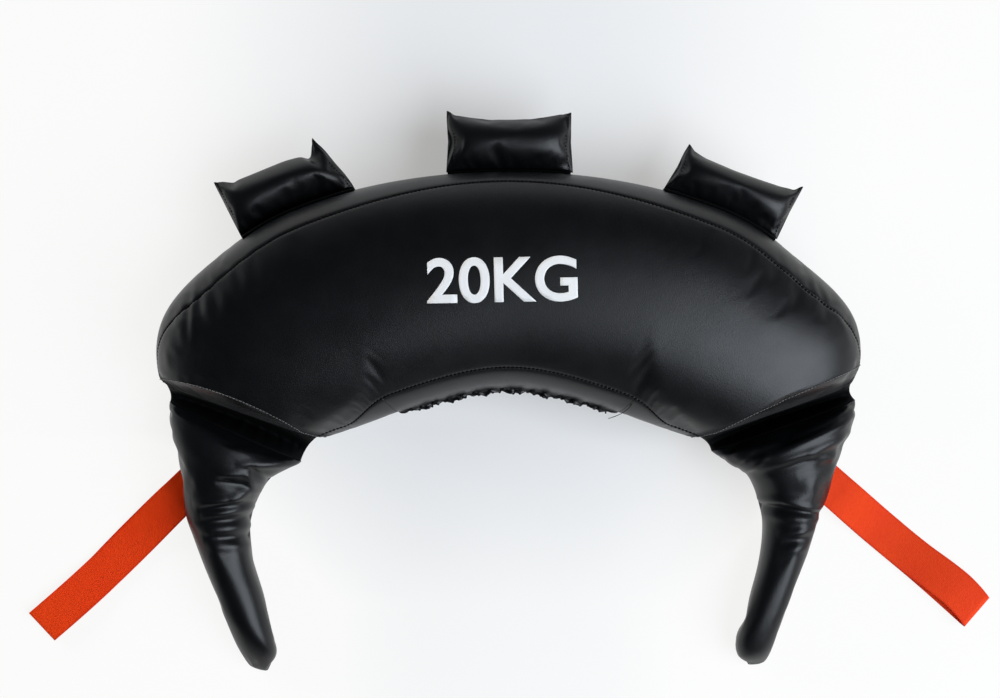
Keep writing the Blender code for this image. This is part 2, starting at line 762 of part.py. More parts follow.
def horns():
    """Tapered horns: leather sleeve, stuffing and the stitching that closes the flat tip."""
    rows = range(len(HORN_EDGE_SHARES))
    lined = rows[:-UNLINED_TIP_COUNT]
    stuffed = rows[:-UNSTUFFED_TIP_COUNT]
    last = TIP_STITCH_START_DEG + TIP_STITCH_SPAN_DEG
    turns = stations_between(TIP_STITCH_START_DEG, last, TIP_STITCH_POINTS)
    sleeves = {}
    for prefix, side in (("left", -1.0), ("right", 1.0)):
        pivot = collar_middle(side)
        outside = [horn_ring(row, 0.0, RING_POINTS, side) for row in rows]
        inside = [horn_ring(row, LEATHER_THICKNESS, RING_POINTS, side) for row in lined]
        sleeves[side] = capped_sleeve(prefix + "_horn_sleeve", outside, inside, "black_leather", pivot)
        filling = [horn_ring(row, LEATHER_THICKNESS + FIT_GAP, RING_POINTS, side) for row in stuffed]
        filled_loft(prefix + "_horn_stuffing", filling, "grey_wadding", pivot)
        clear = THREAD_RADIUS + FIT_GAP
        path = [mirrored(side, horn_point(len(stuffed), turn, -clear)) for turn in turns]
        thread(prefix + "_horn_tip_stitching", path, THREAD_RADIUS, "black_thread", pivot)
    return sleeves


def surface_of(obj):
    """Give the tree of an object's faces in the bag's frame, for fitting a block to it."""
    points = [obj.matrix_basis @ vertex.co for vertex in obj.data.vertices]
    return BVHTree.FromPolygons(points, [tuple(face.vertices) for face in obj.data.polygons])


def fitted_block(name, tree, face, inward, material_name, origin):
    """Run a flat grid of points inward to a curved surface and close the two into a block."""
    seat = []
    for row in face:
        line = []
        for point in row:
            hit = tree.ray_cast(point, inward)[0]
            line.append(hit - inward * SEAT_GAP)
        seat.append(line)
    return sheet_solid(name, face, seat, material_name, origin)


def flat_grid(middle, across, up, half_width, half_height, columns, rows):
    """Spread a flat grid of points."""
    grid = []
    for height in stations_between(-half_height, half_height, rows):
        level = middle + up * height
        grid.append([level + across * reach for reach in stations_between(-half_width, half_width, columns)])
    return grid


def loop_direction(side):
    """Direction in which a webbing loop leaves its horn."""
    angle = math.radians(LEFT_LOOP_DIRECTION_DEG if side < 0.0 else RIGHT_LOOP_DIRECTION_DEG)
    return mirrored(side, (math.cos(angle), math.sin(angle), 0.0))


def loop_pivot(side):
    """Point of the sewn fold where the loop starts, just outside the horn."""
    outer = horn_plan(LOOP_TAB_ALONG_SHARE, horn_edge_across(LOOP_TAB_ALONG_SHARE))
    point = mirrored(side, outer) + loop_direction(side) * LOOP_STANDOFF
    point[2] = LOOP_PIVOT_HEIGHT
    return point


def horn_edge_across(along_share):
    """Outer edge of the horn at a place along its axis."""
    for (first, _, _), (second, _, _) in zip(HORN_EDGE_SHARES, HORN_EDGE_SHARES[1:]):
        if first[0] <= along_share <= second[0]:
            share = (along_share - first[0]) / (second[0] - first[0])
            return first[1] + (second[1] - first[1]) * share
    return HORN_EDGE_SHARES[-1][0][1]


def loop_tabs(sleeves):
    """Folded webbing tabs sewn to the outer side of the horns."""
    up = Vector((0.0, 0.0, 1.0))
    size = (WEBBING_WIDTH / 2.0, LOOP_TAB_THICKNESS / 2.0, LOOP_TAB_ACROSS_COUNT, LOOP_TAB_UP_COUNT)
    for name, side in (("left_loop_tab", -1.0), ("right_loop_tab", 1.0)):
        direction = loop_direction(side)
        across = Vector((-direction[1], direction[0], 0.0))
        radius = LOOP_PIVOT_RADIUS + WEBBING_THICKNESS
        front = loop_pivot(side) - direction * (radius + FIT_GAP)
        face = flat_grid(front, across, up, *size)
        fitted_block(name, surface_of(sleeves[side]), face, -direction, "red_webbing", collar_middle(side))


def loop_profile(length, inset):
    """Side view of the closed loop as (run, height): lower layer out, end fold, upper layer back."""
    radius = LOOP_PIVOT_RADIUS + WEBBING_THICKNESS - inset
    low = LOOP_FLOOR_GAP + inset
    high = LOOP_FLOOR_GAP + 2.0 * WEBBING_THICKNESS + LOOP_OPENING - inset
    end_middle = (low + high) / 2.0
    end_radius = (high - low) / 2.0
    end_run = length - (end_radius + inset)
    near, far = [length * share for share in LOOP_RUN_SHARES]
    lower = [(LOOP_DROP_RUN, low), (near, low), (far, low)]
    fold = []
    for k in range(LOOP_TURN_POINTS + 1):
        angle = math.radians(-90.0 + 180.0 * k / LOOP_TURN_POINTS)
        fold.append((end_run + end_radius * math.cos(angle), end_middle + end_radius * math.sin(angle)))
    upper = [(far, high), (near, high - LOOP_OPENING * LOOP_SAG_SHARE)]
    upper.append((LOOP_DROP_RUN, LOOP_PIVOT_HEIGHT * LOOP_DROP_HEIGHT_SHARE + radius))
    root = []
    for k in range(LOOP_TURN_POINTS + 1):
        angle = math.radians(LOOP_ROOT_TURN_DEG + 180.0 * k / LOOP_TURN_POINTS)
        root.append((radius * math.cos(angle), LOOP_PIVOT_HEIGHT + radius * math.sin(angle)))
    return lower + fold + upper + root


def webbing_loops():
    """Webbing loops: one closed band each, from the sewn fold at the horn out along the floor and back."""
    half = WEBBING_WIDTH / 2.0
    corners = ((0.0, -half), (0.0, half), (WEBBING_THICKNESS, half), (WEBBING_THICKNESS, -half))
    for name, side in (("left_webbing_loop", -1.0), ("right_webbing_loop", 1.0)):
        direction = loop_direction(side)
        across = Vector((-direction[1], direction[0], 0.0))
        pivot = loop_pivot(side)
        length = LEFT_LOOP_LENGTH if side < 0.0 else RIGHT_LOOP_LENGTH
        start = Vector((pivot[0], pivot[1], 0.0))
        rings = []
        for inset, reach in corners:
            edge = start + across * reach
            profile = loop_profile(length, inset)
            rings.append([edge + direction * run + Vector((0.0, 0.0, height)) for run, height in profile])
        count = len(rings[0])
        points = [point for ring in rings for point in ring]
        faces = []
        for k in range(len(rings)):
            faces += ring_faces(k * count, (k + 1) % len(rings) * count, count)
        add_object(name, points, faces, "red_webbing", pivot)


def grip_frame(turn_degrees):
    """Give the hinge point, tangent and outward normal of a grip on the rim."""
    station = turn_degrees / RIM_END_DEG
    ahead = rim_point(station + STATION_PROBE)
    behind = rim_point(station - STATION_PROBE)
    tangent = (ahead - behind).normalized()
    normal = Vector((-tangent[1], tangent[0], 0.0))
    height = crescent_section(station)[3]
    level = (height - FLOOR_FLATTENING) / 2.0
    standoff = SEAT_GAP + GRIP_BASE_MIN_THICKNESS + GRIP_HINGE_GAP
    hinge = rim_point(station) + normal * standoff + Vector((0.0, 0.0, level))
    return hinge, tangent, normal


def grip_point(frame, share, degrees, inset):
    """Give a point of a stuffed grip: thick in the middle, sewn flat at both ends and at its foot."""
    hinge, tangent, normal = frame
    fullness = math.sqrt(max(0.0, 1.0 - abs(share) ** GRIP_FULLNESS_POWER))
    flat = GRIP_COVER_THICKNESS + FIT_GAP / 2.0
    half_thickness = flat + (GRIP_THICKNESS / 2.0 - flat) * fullness - inset
    half_depth = GRIP_DEPTH / 2.0 - GRIP_WAIST / 2.0 * fullness - inset
    angle = math.radians(degrees)
    lean = ((1.0 - math.cos(angle)) / 2.0) ** GRIP_LEAN_POWER
    radial = half_depth * (1.0 - math.cos(angle)) + inset
    along = (GRIP_LENGTH / 2.0 - GRIP_WAIST * math.sin(math.pi * radial / GRIP_DEPTH)) * share
    rise = half_thickness * math.sin(angle) * lean
    return hinge + tangent * along + normal * radial + Vector((0.0, 0.0, rise))


def grip_grid():
    """Stations along a grip, closer at its sewn ends, and angles round it from edge to edge."""
    shares = [math.sin(math.pi / 2.0 * (2.0 * k / GRIP_STATIONS - 1.0)) for k in range(GRIP_STATIONS + 1)]
    span = 360.0 - 2.0 * GRIP_SLOT_DEG
    angles = [GRIP_SLOT_DEG + span * k / GRIP_RING_POINTS for k in range(GRIP_RING_POINTS + 1)]
    return shares, angles


def grip_cover(name, frame):
    """Leather cover folded over the stuffing, its two free edges at the hinge."""
    shares, angles = grip_grid()
    outside = []
    inside = []
    for share in shares:
        outside.append([grip_point(frame, share, angle, 0.0) for angle in angles])
        inside.append([grip_point(frame, share, angle, GRIP_COVER_THICKNESS) for angle in angles])
    return sheet_solid(name, outside, inside, "black_leather", frame[0])


def grip_stuffing(name, frame):
    """Fibre stuffing inside a grip."""
    shares, angles = grip_grid()
    inset = GRIP_COVER_THICKNESS + FIT_GAP
    rings = [[grip_point(frame, share, angle, inset) for angle in angles[1:-1]] for share in shares[1:-1]]
    return filled_loft(name, rings, "grey_wadding", frame[0])


def grips(gusset):
    """Three stuffed grips, each on a leather base sewn to the outer gusset."""
    tree = surface_of(gusset)
    up = Vector((0.0, 0.0, 1.0))
    half_width = GRIP_LENGTH / 2.0 - GRIP_BASE_END_MARGIN
    size = (half_width, GRIP_BASE_HEIGHT / 2.0, GRIP_BASE_ACROSS_COUNT, GRIP_BASE_UP_COUNT)
    for prefix, turn in (("left", -GRIP_SIDE_DEG), ("centre", 0.0), ("right", GRIP_SIDE_DEG)):
        frame = grip_frame(turn)
        hinge, tangent, normal = frame
        front = hinge - normal * GRIP_HINGE_GAP
        face = flat_grid(front, tangent, up, *size)
        fitted_block(prefix + "_grip_base", tree, face, -normal, "black_leather", hinge)
        grip_cover(prefix + "_grip_cover", frame)
        grip_stuffing(prefix + "_grip_stuffing", frame)


def build():
    """Make every piece."""
    clear_scene()
    panels()
    gusset = outer_gusset()
    inner_gussets()
    closure_flap("upper_closure_flap", 1.0)
    closure_flap("lower_closure_flap", -1.0)
    closure_lacing()
    seam_threads()
    waddings()
    sand_bags()
    collars()
    collar_stitching()
    sleeves = horns()
    loop_tabs(sleeves)
    webbing_loops()
    grips(gusset)


build()
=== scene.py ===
import math
import bmesh
import bpy
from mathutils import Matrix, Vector, noise
from mathutils.bvhtree import BVHTree


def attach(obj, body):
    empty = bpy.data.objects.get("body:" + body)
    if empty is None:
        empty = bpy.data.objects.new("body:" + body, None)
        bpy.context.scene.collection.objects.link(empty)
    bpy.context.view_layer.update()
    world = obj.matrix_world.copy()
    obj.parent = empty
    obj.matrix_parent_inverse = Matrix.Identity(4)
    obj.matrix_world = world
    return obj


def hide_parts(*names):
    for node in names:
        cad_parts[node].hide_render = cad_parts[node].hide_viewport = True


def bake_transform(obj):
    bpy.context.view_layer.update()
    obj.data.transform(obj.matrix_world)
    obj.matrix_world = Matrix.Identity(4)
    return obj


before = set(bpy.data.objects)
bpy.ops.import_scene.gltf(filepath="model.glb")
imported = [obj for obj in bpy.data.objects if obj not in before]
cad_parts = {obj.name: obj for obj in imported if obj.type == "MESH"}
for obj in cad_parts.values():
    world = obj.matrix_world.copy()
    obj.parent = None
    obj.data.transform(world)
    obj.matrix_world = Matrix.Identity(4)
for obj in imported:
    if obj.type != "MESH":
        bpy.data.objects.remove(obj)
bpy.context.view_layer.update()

# Sand bags: five cotton bags of dry sand lie end to end inside the crescent and give it its weight.
# Each is a sewn tube of plain brown cloth, tied off short so that it fills its length of the skin.
RIM_HALF_WIDTH = 0.351
RIM_RISE = 0.182
RIM_CENTRE_Y = 0.0400
RIM_END_DEG = 99.0
LEFT_SHOULDER_DRAW = 0.0055
RIGHT_SHOULDER_DRAW = 0.0080
SHOULDER_DRAW_STATION = 0.60
SHOULDER_DRAW_SPAN = 0.22
BAY_Y = 0.0077
BAY_END_X = 0.190
BAY_ROUNDING = 0.020
BAY_SLOPE = 0.36
BAY_SPREAD_DEG = 60.0
HEIGHT_MIDDLE = 0.160
HEIGHT_END = 0.125
FLOOR_FLATTENING = 0.004
BODY_POWER = 2.3
BODY_END = 0.9995
END_ROUNDING = 0.0165
END_DROP = 0.040
END_SHARPNESS = 1.35
END_TUCK = 0.0025
INNER_SEAM_ACROSS = 1.78
BAG_COUNT = 5
BAG_ROWS = 16
BAG_COLUMNS = 36
BAG_GAP = 0.012
BAG_DEPTH = 0.0125
BAG_REACH = 0.997
BAG_NECK = 0.020
BAG_SLUMP = 0.0012
UP = Vector((0.0, 0.0, 1.0))


def eased(share):
    share = min(max(share, 0.0), 1.0)
    return share * share * (3.0 - 2.0 * share)


def rim_at(station):
    turn = math.radians(RIM_END_DEG * station)
    away = min(abs(abs(station) - SHOULDER_DRAW_STATION) / SHOULDER_DRAW_SPAN, 1.0)
    draw = LEFT_SHOULDER_DRAW if station < 0.0 else RIGHT_SHOULDER_DRAW
    draw *= (1.0 + math.cos(math.pi * away)) / 2.0
    x = (RIM_HALF_WIDTH - draw) * math.sin(turn)
    return Vector((x, RIM_CENTRE_Y + (RIM_RISE - draw) * math.cos(turn), 0.0))


def bay_at(station):
    spread = math.radians(BAY_SPREAD_DEG)
    x = BAY_END_X * math.sin(spread * station) / math.sin(spread)
    return Vector((x, BAY_Y - math.hypot(BAY_ROUNDING, BAY_SLOPE * x) + BAY_ROUNDING, 0.0))


def body_slice(station):
    """Give the middle, the outward direction, the half width and the height of the crescent here."""
    outer = rim_at(station)
    inner = bay_at(station)
    width = (outer - inner).length
    height = HEIGHT_MIDDLE - (HEIGHT_MIDDLE - HEIGHT_END) * station ** 2
    return (outer + inner) / 2.0, (outer - inner) / width, width / 2.0, height


def oval(half_width, half_height, degrees, power):
    c = math.cos(math.radians(degrees))
    s = math.sin(math.radians(degrees))
    across = half_width * math.copysign(abs(c) ** (2.0 / power), c)
    return across, half_height * math.copysign(abs(s) ** (2.0 / power), s)


def body_at(station, degrees, inset=0.0):
    """A point of the crescent: 0 degrees is its outer edge, 90 its top and 180 its inner edge."""
    middle, outward, half_width, height = body_slice(station)
    x, z = oval(half_width - inset, (height + FLOOR_FLATTENING) / 2.0 - inset, degrees, BODY_POWER)
    return middle + outward * x + UP * max(z + (height - FLOOR_FLATTENING) / 2.0, inset)


def neck_direction(side):
    """Direction in which a neck leaves the crescent; side is -1 on the left and 1 on the right."""
    outward = body_slice(1.0)[1]
    return Vector((side * outward.y, -outward.x, 0.0))


def neck_depth(point):
    """How far a point lies inside the nearer end of the crescent."""
    side = math.copysign(1.0, point.x)
    middle = body_slice(side)[0]
    return (middle - Vector((point.x, point.y, 0.0))).dot(neck_direction(side))


def end_roll(side, degrees):
    """How far from its end the crescent starts to roll over: on the left least at both edges."""
    across = min((1.0 - oval(1.0, 1.0, degrees, BODY_POWER)[0]) / INNER_SEAM_ACROSS, 1.0)
    if side > 0.0:
        return END_ROUNDING * (1.0 - 0.82 * across ** 2.2)
    return END_ROUNDING * (0.20 + 0.70 * math.sin(math.pi * across) ** 0.8)


def filled_at(station, degrees, inset=0.0):
    """A point of the filled crescent, whose ends roll over and drop at the necks."""
    depth = max(neck_depth(body_at(station, degrees)), 0.0)
    near = 1.0 - min(depth / end_roll(station, degrees), 1.0)
    over = max(0.0, math.sin(math.radians(degrees)))
    fall = 1.0 - (1.0 - 0.98 * near ** END_SHARPNESS) ** (1.0 / END_SHARPNESS)
    return body_at(station, degrees, (END_TUCK + (END_DROP - END_TUCK) * over) * fall + inset)


def set_down(name, data):
    """Put a new piece into the scene."""
    obj = bpy.data.objects.new(name, data)
    bpy.context.scene.collection.objects.link(obj)
    return obj


def lofted(name, rows, ring=False, caps=False, flip=False):
    """Join rows of points into one skin; a ring joins its last column to its first."""
    width = len(rows[0])
    points = [point for row in rows for point in row]
    faces = []
    for i in range(len(rows) - 1):
        for k in range(width if ring else width - 1):
            a = i * width + k
            b = i * width + (k + 1) % width
            faces.append((a, a + width, b + width, b) if flip else (a, b, b + width, a + width))
    if caps:
        for start in (0, (len(rows) - 1) * width):
            points.append(sum(points[start:start + width], Vector()) / width)
            faces += [(start + k, start + (k + 1) % width, len(points) - 1) for k in range(width)]
    mesh = bpy.data.meshes.new(name)
    mesh.from_pydata([tuple(point) for point in points], [], faces)
    if caps:
        work = bmesh.new()
        work.from_mesh(mesh)
        bmesh.ops.recalc_face_normals(work, faces=work.faces)
        work.to_mesh(mesh)
        work.free()
    return set_down(name, mesh)


def pick_only(obj):
    bpy.ops.object.select_all(action="DESELECT")
    obj.select_set(True)
    bpy.context.view_layer.objects.active = obj


def apply_all(obj):
    pick_only(obj)
    for modifier in list(obj.modifiers):
        bpy.ops.object.modifier_apply(modifier=modifier.name)


def sew_on(obj, finish, body, slot, *replaced, fill=None):
    """Give a piece its finish and the body that carries it, and hide the CAD pieces it stands for."""
    obj.data.materials.clear()
    obj.data.materials.append(finish)
    obj.data.polygons.foreach_set("use_smooth", [True] * len(obj.data.polygons))
    if body:
        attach(obj, body)
    if replaced:
        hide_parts(*replaced)


class Shade:
    """A shader socket that takes part in plain Python sums."""

    def __init__(self, tree, socket=None):
        self.tree = tree
        self.socket = socket

    def node(self, kind, values=None, out=0, **settings):
        made = self.tree.nodes.new("ShaderNode" + kind)
        for name, setting in settings.items():
            setattr(made, name, setting)
        for key, value in (values or {}).items():
            socket = made.inputs[key]
            if isinstance(value, Shade):
                self.tree.links.new(value.socket, socket)
            elif isinstance(value, tuple) and socket.type == "RGBA":
                socket.default_value = (*value, 1.0)
            else:
                socket.default_value = value
        return Shade(self.tree, made.outputs[out])

    def maths(self, operation, *values):
        return self.node("Math", dict(enumerate(values)), operation=operation)

    def axes(self):
        """Its x, y and z."""
        made = self.node("SeparateXYZ", {"Vector": self}).socket.node
        return [Shade(self.tree, out) for out in made.outputs]

    def __add__(self, other):
        return self.maths("ADD", self, other)

    def __radd__(self, other):
        return self.maths("ADD", other, self)

    def __sub__(self, other):
        return self.maths("SUBTRACT", self, other)

    def __rsub__(self, other):
        return self.maths("SUBTRACT", other, self)

    def __mul__(self, other):
        return self.maths("MULTIPLY", self, other)


def new_finish(name):
    """Start a material; give it, its shade and the place on the piece."""
    made = bpy.data.materials.new(name)
    made.use_nodes = True
    shade = Shade(made.node_tree)
    return made, shade, shade.node("TexCoord", out="Object")


def cloud(shade, spot, scale, detail=3.0, roughness=0.55):
    return shade.node("TexNoise", {"Vector": spot, "Scale": scale, "Detail": detail, "Roughness": roughness})


def threads(shade, spot, scale, distortion, way):
    return shade.node("TexWave", {"Vector": spot, "Scale": scale, "Distortion": distortion}, "Fac",
                      bands_direction=way)


def between(shade, share, first, second):
    return shade.node("Mix", {0: share, 6: first, 7: second}, 2, data_type="RGBA")


def close_finish(made, colour, rough, raised, depth, strength=0.5, **fixed):
    """Link what varies over a finish to its shader; what is the same all over is set on the socket."""
    tree = made.node_tree
    shader = tree.nodes["Principled BSDF"]
    bump = raised.node("Bump", {"Strength": strength, "Distance": depth, "Height": raised})
    for name, value in (("Base Color", colour), ("Roughness", rough), ("Normal", bump)):
        tree.links.new(value.socket, shader.inputs[name])
    for name, level in fixed.items():
        shader.inputs[name.replace("_", " ")].default_value = level
    return made


bag_cloth, shade, spot = new_finish("sand_bag_cotton")
warp = threads(shade, spot, 420.0, 0.6, "X")
weft = threads(shade, spot, 420.0, 0.6, "Y")
soil = cloud(shade, spot, 26.0)
close_finish(bag_cloth, between(shade, soil * 0.7 + warp * 0.3, (0.34, 0.26, 0.16), (0.52, 0.43, 0.30)),
             0.86 + soil * 0.1, warp * 0.5 + weft * 0.5, 0.0003, Sheen_Weight=0.2)

bag_length = 2.0 * BAG_REACH / BAG_COUNT
for bag in range(BAG_COUNT):
    rows = []
    for row in range(BAG_ROWS + 1):
        share = row / BAG_ROWS
        station = -BAG_REACH + bag_length * (bag + BAG_GAP + (1.0 - 2.0 * BAG_GAP) * share)
        neck = BAG_NECK * (1.0 - math.sqrt(max(0.0, 1.0 - (2.0 * share - 1.0) ** 6)))
        line = []
        for k in range(BAG_COLUMNS):
            slump = BAG_SLUMP * noise.noise(Vector((station * 14.0, k * 0.5, bag * 3.0)))
            line.append(filled_at(station, 360.0 * k / BAG_COLUMNS, BAG_DEPTH + neck + abs(slump)))
        rows.append(line)
    sand_bag = lofted("sand_bag_skin_%d" % (bag + 1), rows, ring=True, caps=True)
    sew_on(sand_bag, bag_cloth, "crescent", "sand_bag_cloth", "sand_bag_%d" % (bag + 1), fill=0.9)

# Wadding: two sheets of grey polyester felt, one over and one under the sand bags, which keep the
# sand from showing through the leather. Needle-punched, loose and slightly lumpy.
WADDING_DEPTH = 0.0066
WADDING_WALL = 0.0045
WADDING_REACH = 0.996
WADDING_LUMP = 0.0004
WADDING_ROWS = 60
WADDING_COLUMNS = 24

wadding_felt, shade, spot = new_finish("wadding_felt")
lint = cloud(shade, spot, 210.0, 6.0, 0.7)
tufts = cloud(shade, spot, 45.0)
close_finish(wadding_felt, between(shade, lint * 0.6 + tufts * 0.4, (0.40, 0.39, 0.37), (0.70, 0.69, 0.66)),
             0.88 + tufts * 0.1, lint * 0.7 + tufts, 0.0008, Sheen_Weight=0.4)


def give_wall(obj, thickness, offset=-1.0):
    """Give a skin its wall: inwards, or to both sides at offset 0."""
    wall = obj.modifiers.new("Wall", "SOLIDIFY")
    wall.thickness = thickness
    wall.offset = offset
    apply_all(obj)


for name, start in (("upper_wadding", 0.0), ("lower_wadding", 180.0)):
    rows = []
    for row in range(WADDING_ROWS + 1):
        station = WADDING_REACH * (2.0 * row / WADDING_ROWS - 1.0)
        line = []
        for k in range(WADDING_COLUMNS + 1):
            lump = WADDING_LUMP * noise.noise(Vector((station * 30.0, k * 0.8, start)))
            degrees = start + 1.0 + 178.0 * k / WADDING_COLUMNS
            line.append(filled_at(station, degrees, WADDING_DEPTH + abs(lump)))
        rows.append(line)
    felt = lofted(name + "_sheet", rows)
    give_wall(felt, WADDING_WALL)
    sew_on(felt, wadding_felt, "crescent", "grey_wadding", name, fill=0.8)

# Crescent leather: an upper and a lower panel of black coated leather, joined by a long gusset round
# the rim and a short strip beside each neck. The filling presses it full and the seams pucker it.
SKIN_ROWS = 240
SKIN_COLUMNS = {"gusset": 16, "top": 34, "inner": 12, "bottom": 26}
OUTER_SEAM_INSET = 0.013
OUTER_SEAM_GAIN = 0.0105
OUTER_SEAM_FALL = 0.0205
INNER_SEAM_INSET = 0.020
INNER_SEAM_FALL = 0.016
BOTH_SEAM_INSETS = 0.034
LEATHER_WALL = 0.0016
SEAM_DIP = 0.0012
SEAM_ROLL = 0.30
PUCKER_DEPTH = 0.0005
FOLD_LEVEL = 0.035
SHOULDER_FOLD_STRENGTH = 0.40
GRIP_TURNS_DEG = (-36.5, 0.0, 36.5)
GRIP_SPAN_DEG = 12.5
GRIP_COLUMNS = range(5, 12)
CLOTH_FRAMES = 20
SKIN_REST = 0.0015
NECK_SHADE_FROM = 0.0028
NECK_SHADE_TO = 0.0090


def metres(*rows):
    """Turn rows of millimetres into metres."""
    return [[value / 1000.0 for value in row] for row in rows]


# Each fold: where it starts and ends as seen from above, its width and its height.
SHOULDER_FOLDS = metres(
    (-282, 108, -271, 85, 4.5, 2), (-292, 121, -286, 109, 4, 1.6), (-271, 123, -263, 102, 4.5, 1.8),
    (-257, 130, -249, 107, 5, 1.6), (-294, 101, -285, 68, 4.5, 2.2), (-306, 110, -306, 52, 4, 2.6),
    (-319, 76, -315, 50, 4.5, 1.8), (-332, 53, -321, 41, 4.5, 1.8), (-334, 47, -332, 28, 4, 2),
    (-320, 91, -316, 81, 3.5, 1.8), (-325, 79, -323, 67, 3.5, 1.6), (-302, 97, -297, 74, 4, -1.6),
    (-312, 94, -311, 60, 4, -1.8), (-289, 105, -279, 82, 4, -1.4), (296, 114, 302, 94, 4, 2),
    (306, 106, 312, 94, 4, 1.8), (298, 94, 294, 82, 4, 1.2), (318, 85, 327, 66, 4, 2),
    (300, 110, 308, 91, 3.5, -1.6), (324, 72, 333, 50, 4, 1.6), (269, 130, 275, 113, 5, 1),
)


def smooth_over(obj):
    """Round a skin off with one applied subdivision."""
    made = obj.modifiers.new("Smooth", "SUBSURF")
    made.levels = 1
    made.render_levels = 1
    apply_all(obj)


def settle_cloth(obj, held, pressure, swell, cap, still=None):
    """Settle a skin as cloth under pressure; held points stay, and no point moves past the cap."""
    start = [vertex.co.copy() for vertex in obj.data.vertices]
    group = obj.vertex_groups.new(name="held")
    group.add(sorted(set(held)), 1.0, "REPLACE")
    cloth = obj.modifiers.new("Cloth", "CLOTH")
    rules = cloth.settings
    rules.quality = 5
    rules.mass = 0.3
    rules.tension_stiffness = 20.0
    rules.compression_stiffness = 20.0
    rules.shear_stiffness = 8.0
    rules.bending_stiffness = 2.0
    rules.air_damping = 4.0
    rules.vertex_group_mass = "held"
    if still:
        calm = obj.vertex_groups.new(name="still")
        for index, weight in still.items():
            calm.add([index], weight, "REPLACE")
        rules.vertex_group_shrink = "still"
        rules.shrink_max = 0.0
    rules.shrink_min = -swell
    rules.use_pressure = True
    rules.uniform_pressure_force = pressure
    rules.effector_weights.gravity = 0.0
    cloth.collision_settings.use_collision = False
    cloth.point_cache.frame_start = 1
    cloth.point_cache.frame_end = CLOTH_FRAMES
    for number in range(1, CLOTH_FRAMES + 1):
        bpy.context.scene.frame_set(number)
    apply_all(obj)
    for vertex, before in zip(obj.data.vertices, start):
        move = vertex.co - before
        if move.length > cap:
            vertex.co = before + move * (cap / move.length)
    bpy.context.scene.frame_set(1)


def pinch_folds(obj, folds, strength):
    """Raise or press narrow folds on the upper side of a skin, each along a line seen from above."""
    obj.data.update()
    normals = [Vector(item.vector) for item in obj.data.vertex_normals]
    for vertex, normal in zip(obj.data.vertices, normals):
        if vertex.co.z < FOLD_LEVEL:
            continue
        total = 0.0
        for ax, ay, bx, by, width, height in folds:
            x, y = vertex.co.x - ax, vertex.co.y - ay
            share = (x * (bx - ax) + y * (by - ay)) / ((bx - ax) ** 2 + (by - ay) ** 2)
            if share < -0.2 or share > 1.2:
                continue
            away = math.hypot(x - (bx - ax) * share, y - (by - ay) * share)
            if away < 3.0 * width:
                ends = math.sin(math.pi * (share + 0.2) / 1.4) ** 0.8
                total += strength * height * ends * math.exp(-(away / width) ** 2)
        vertex.co += normal * total


def rim_inset(station):
    place = abs(station)
    gain = OUTER_SEAM_GAIN * eased(place / 0.38)
    return OUTER_SEAM_INSET + gain - OUTER_SEAM_FALL * eased((place - 0.64) / 0.30)


def bay_inset(station):
    return INNER_SEAM_INSET - INNER_SEAM_FALL * eased((abs(station) - 0.46) / 0.30)


def seam_angle(station, inset):
    half_width = body_slice(station)[2]
    return math.degrees(math.acos((1.0 - inset / half_width) ** (BODY_POWER / 2.0)))


def seam_angles(station):
    """Angles of the four long seams here: outer top, inner top, inner bottom, outer bottom."""
    return (seam_angle(station, rim_inset(station)),
            180.0 - seam_angle(station, bay_inset(station)),
            180.0 + seam_angle(station, BOTH_SEAM_INSETS - bay_inset(station)),
            360.0 - seam_angle(station, BOTH_SEAM_INSETS - rim_inset(station)))


def pucker(station, degrees, seams):
    """Small waves that the outer seams gather into the leather, strongest on the shoulders."""
    strength = (1.0 if station < 0.0 else 0.5) * eased((abs(station) - 0.30) / 0.25)
    strength *= 1.0 - 0.6 * eased((abs(station) - 0.82) / 0.15)
    total = 0.0
    for number, seam in enumerate((seams[0], seams[3])):
        away = abs((degrees - seam + 180.0) % 360.0 - 180.0)
        patch = 0.5 + 0.5 * noise.noise(Vector((station * 9.0 + number * 9.0, 3.3, 1.1)))
        phase = 27.0 * station * (1.0 + 0.1 * math.sin(7.0 * station + number)) + number * 1.7
        total += strength * math.exp(-(away / 17.0) ** 2) * patch * math.sin(phase * math.pi)
    return PUCKER_DEPTH * total


def skin_row_at(station):
    seams = seam_angles(station)
    starts = (seams[3] - 360.0, *seams[:3])
    angles = []
    for count, first, last in zip(SKIN_COLUMNS.values(), starts, seams):
        angles += [first + (last - first) * k / count for k in range(count)]
    return angles, [filled_at(station, degrees, -pucker(station, degrees, seams)) for degrees in angles]


column_start = {}
skin_width = 0
for part, count in SKIN_COLUMNS.items():
    column_start[part] = skin_width
    skin_width += count
skin_stations = [BODY_END * (2.0 * row / SKIN_ROWS - 1.0) for row in range(SKIN_ROWS + 1)]
skin_points = [skin_row_at(station)[1] for station in skin_stations]
end_angles = skin_row_at(BODY_END)[0]
skin = lofted("crescent_skin", skin_points, ring=True)
held_points = []
calm_points = {}
for row, station in enumerate(skin_stations):
    beside = min(abs(RIM_END_DEG * station - turn) for turn in GRIP_TURNS_DEG) < GRIP_SPAN_DEG
    for k in range(skin_width):
        sewn = k in column_start.values() or k in GRIP_COLUMNS and beside
        if sewn or row in (0, SKIN_ROWS) or skin_points[row][k].z < SKIN_REST:
            held_points.append(row * skin_width + k)
        calm_points[row * skin_width + k] = 1.0 - 0.8 * eased((abs(station) - 0.42) / 0.35)
settle_cloth(skin, held_points, pressure=4.0, swell=0.012, cap=0.005, still=calm_points)
skin_points = [[skin.data.vertices[row * skin_width + k].co.copy() for k in range(skin_width)]
               for row in range(SKIN_ROWS + 1)]
for line in skin_points:
    for spot in line:
        spot.z = max(spot.z, 0.0)
bpy.data.objects.remove(skin, do_unlink=True)


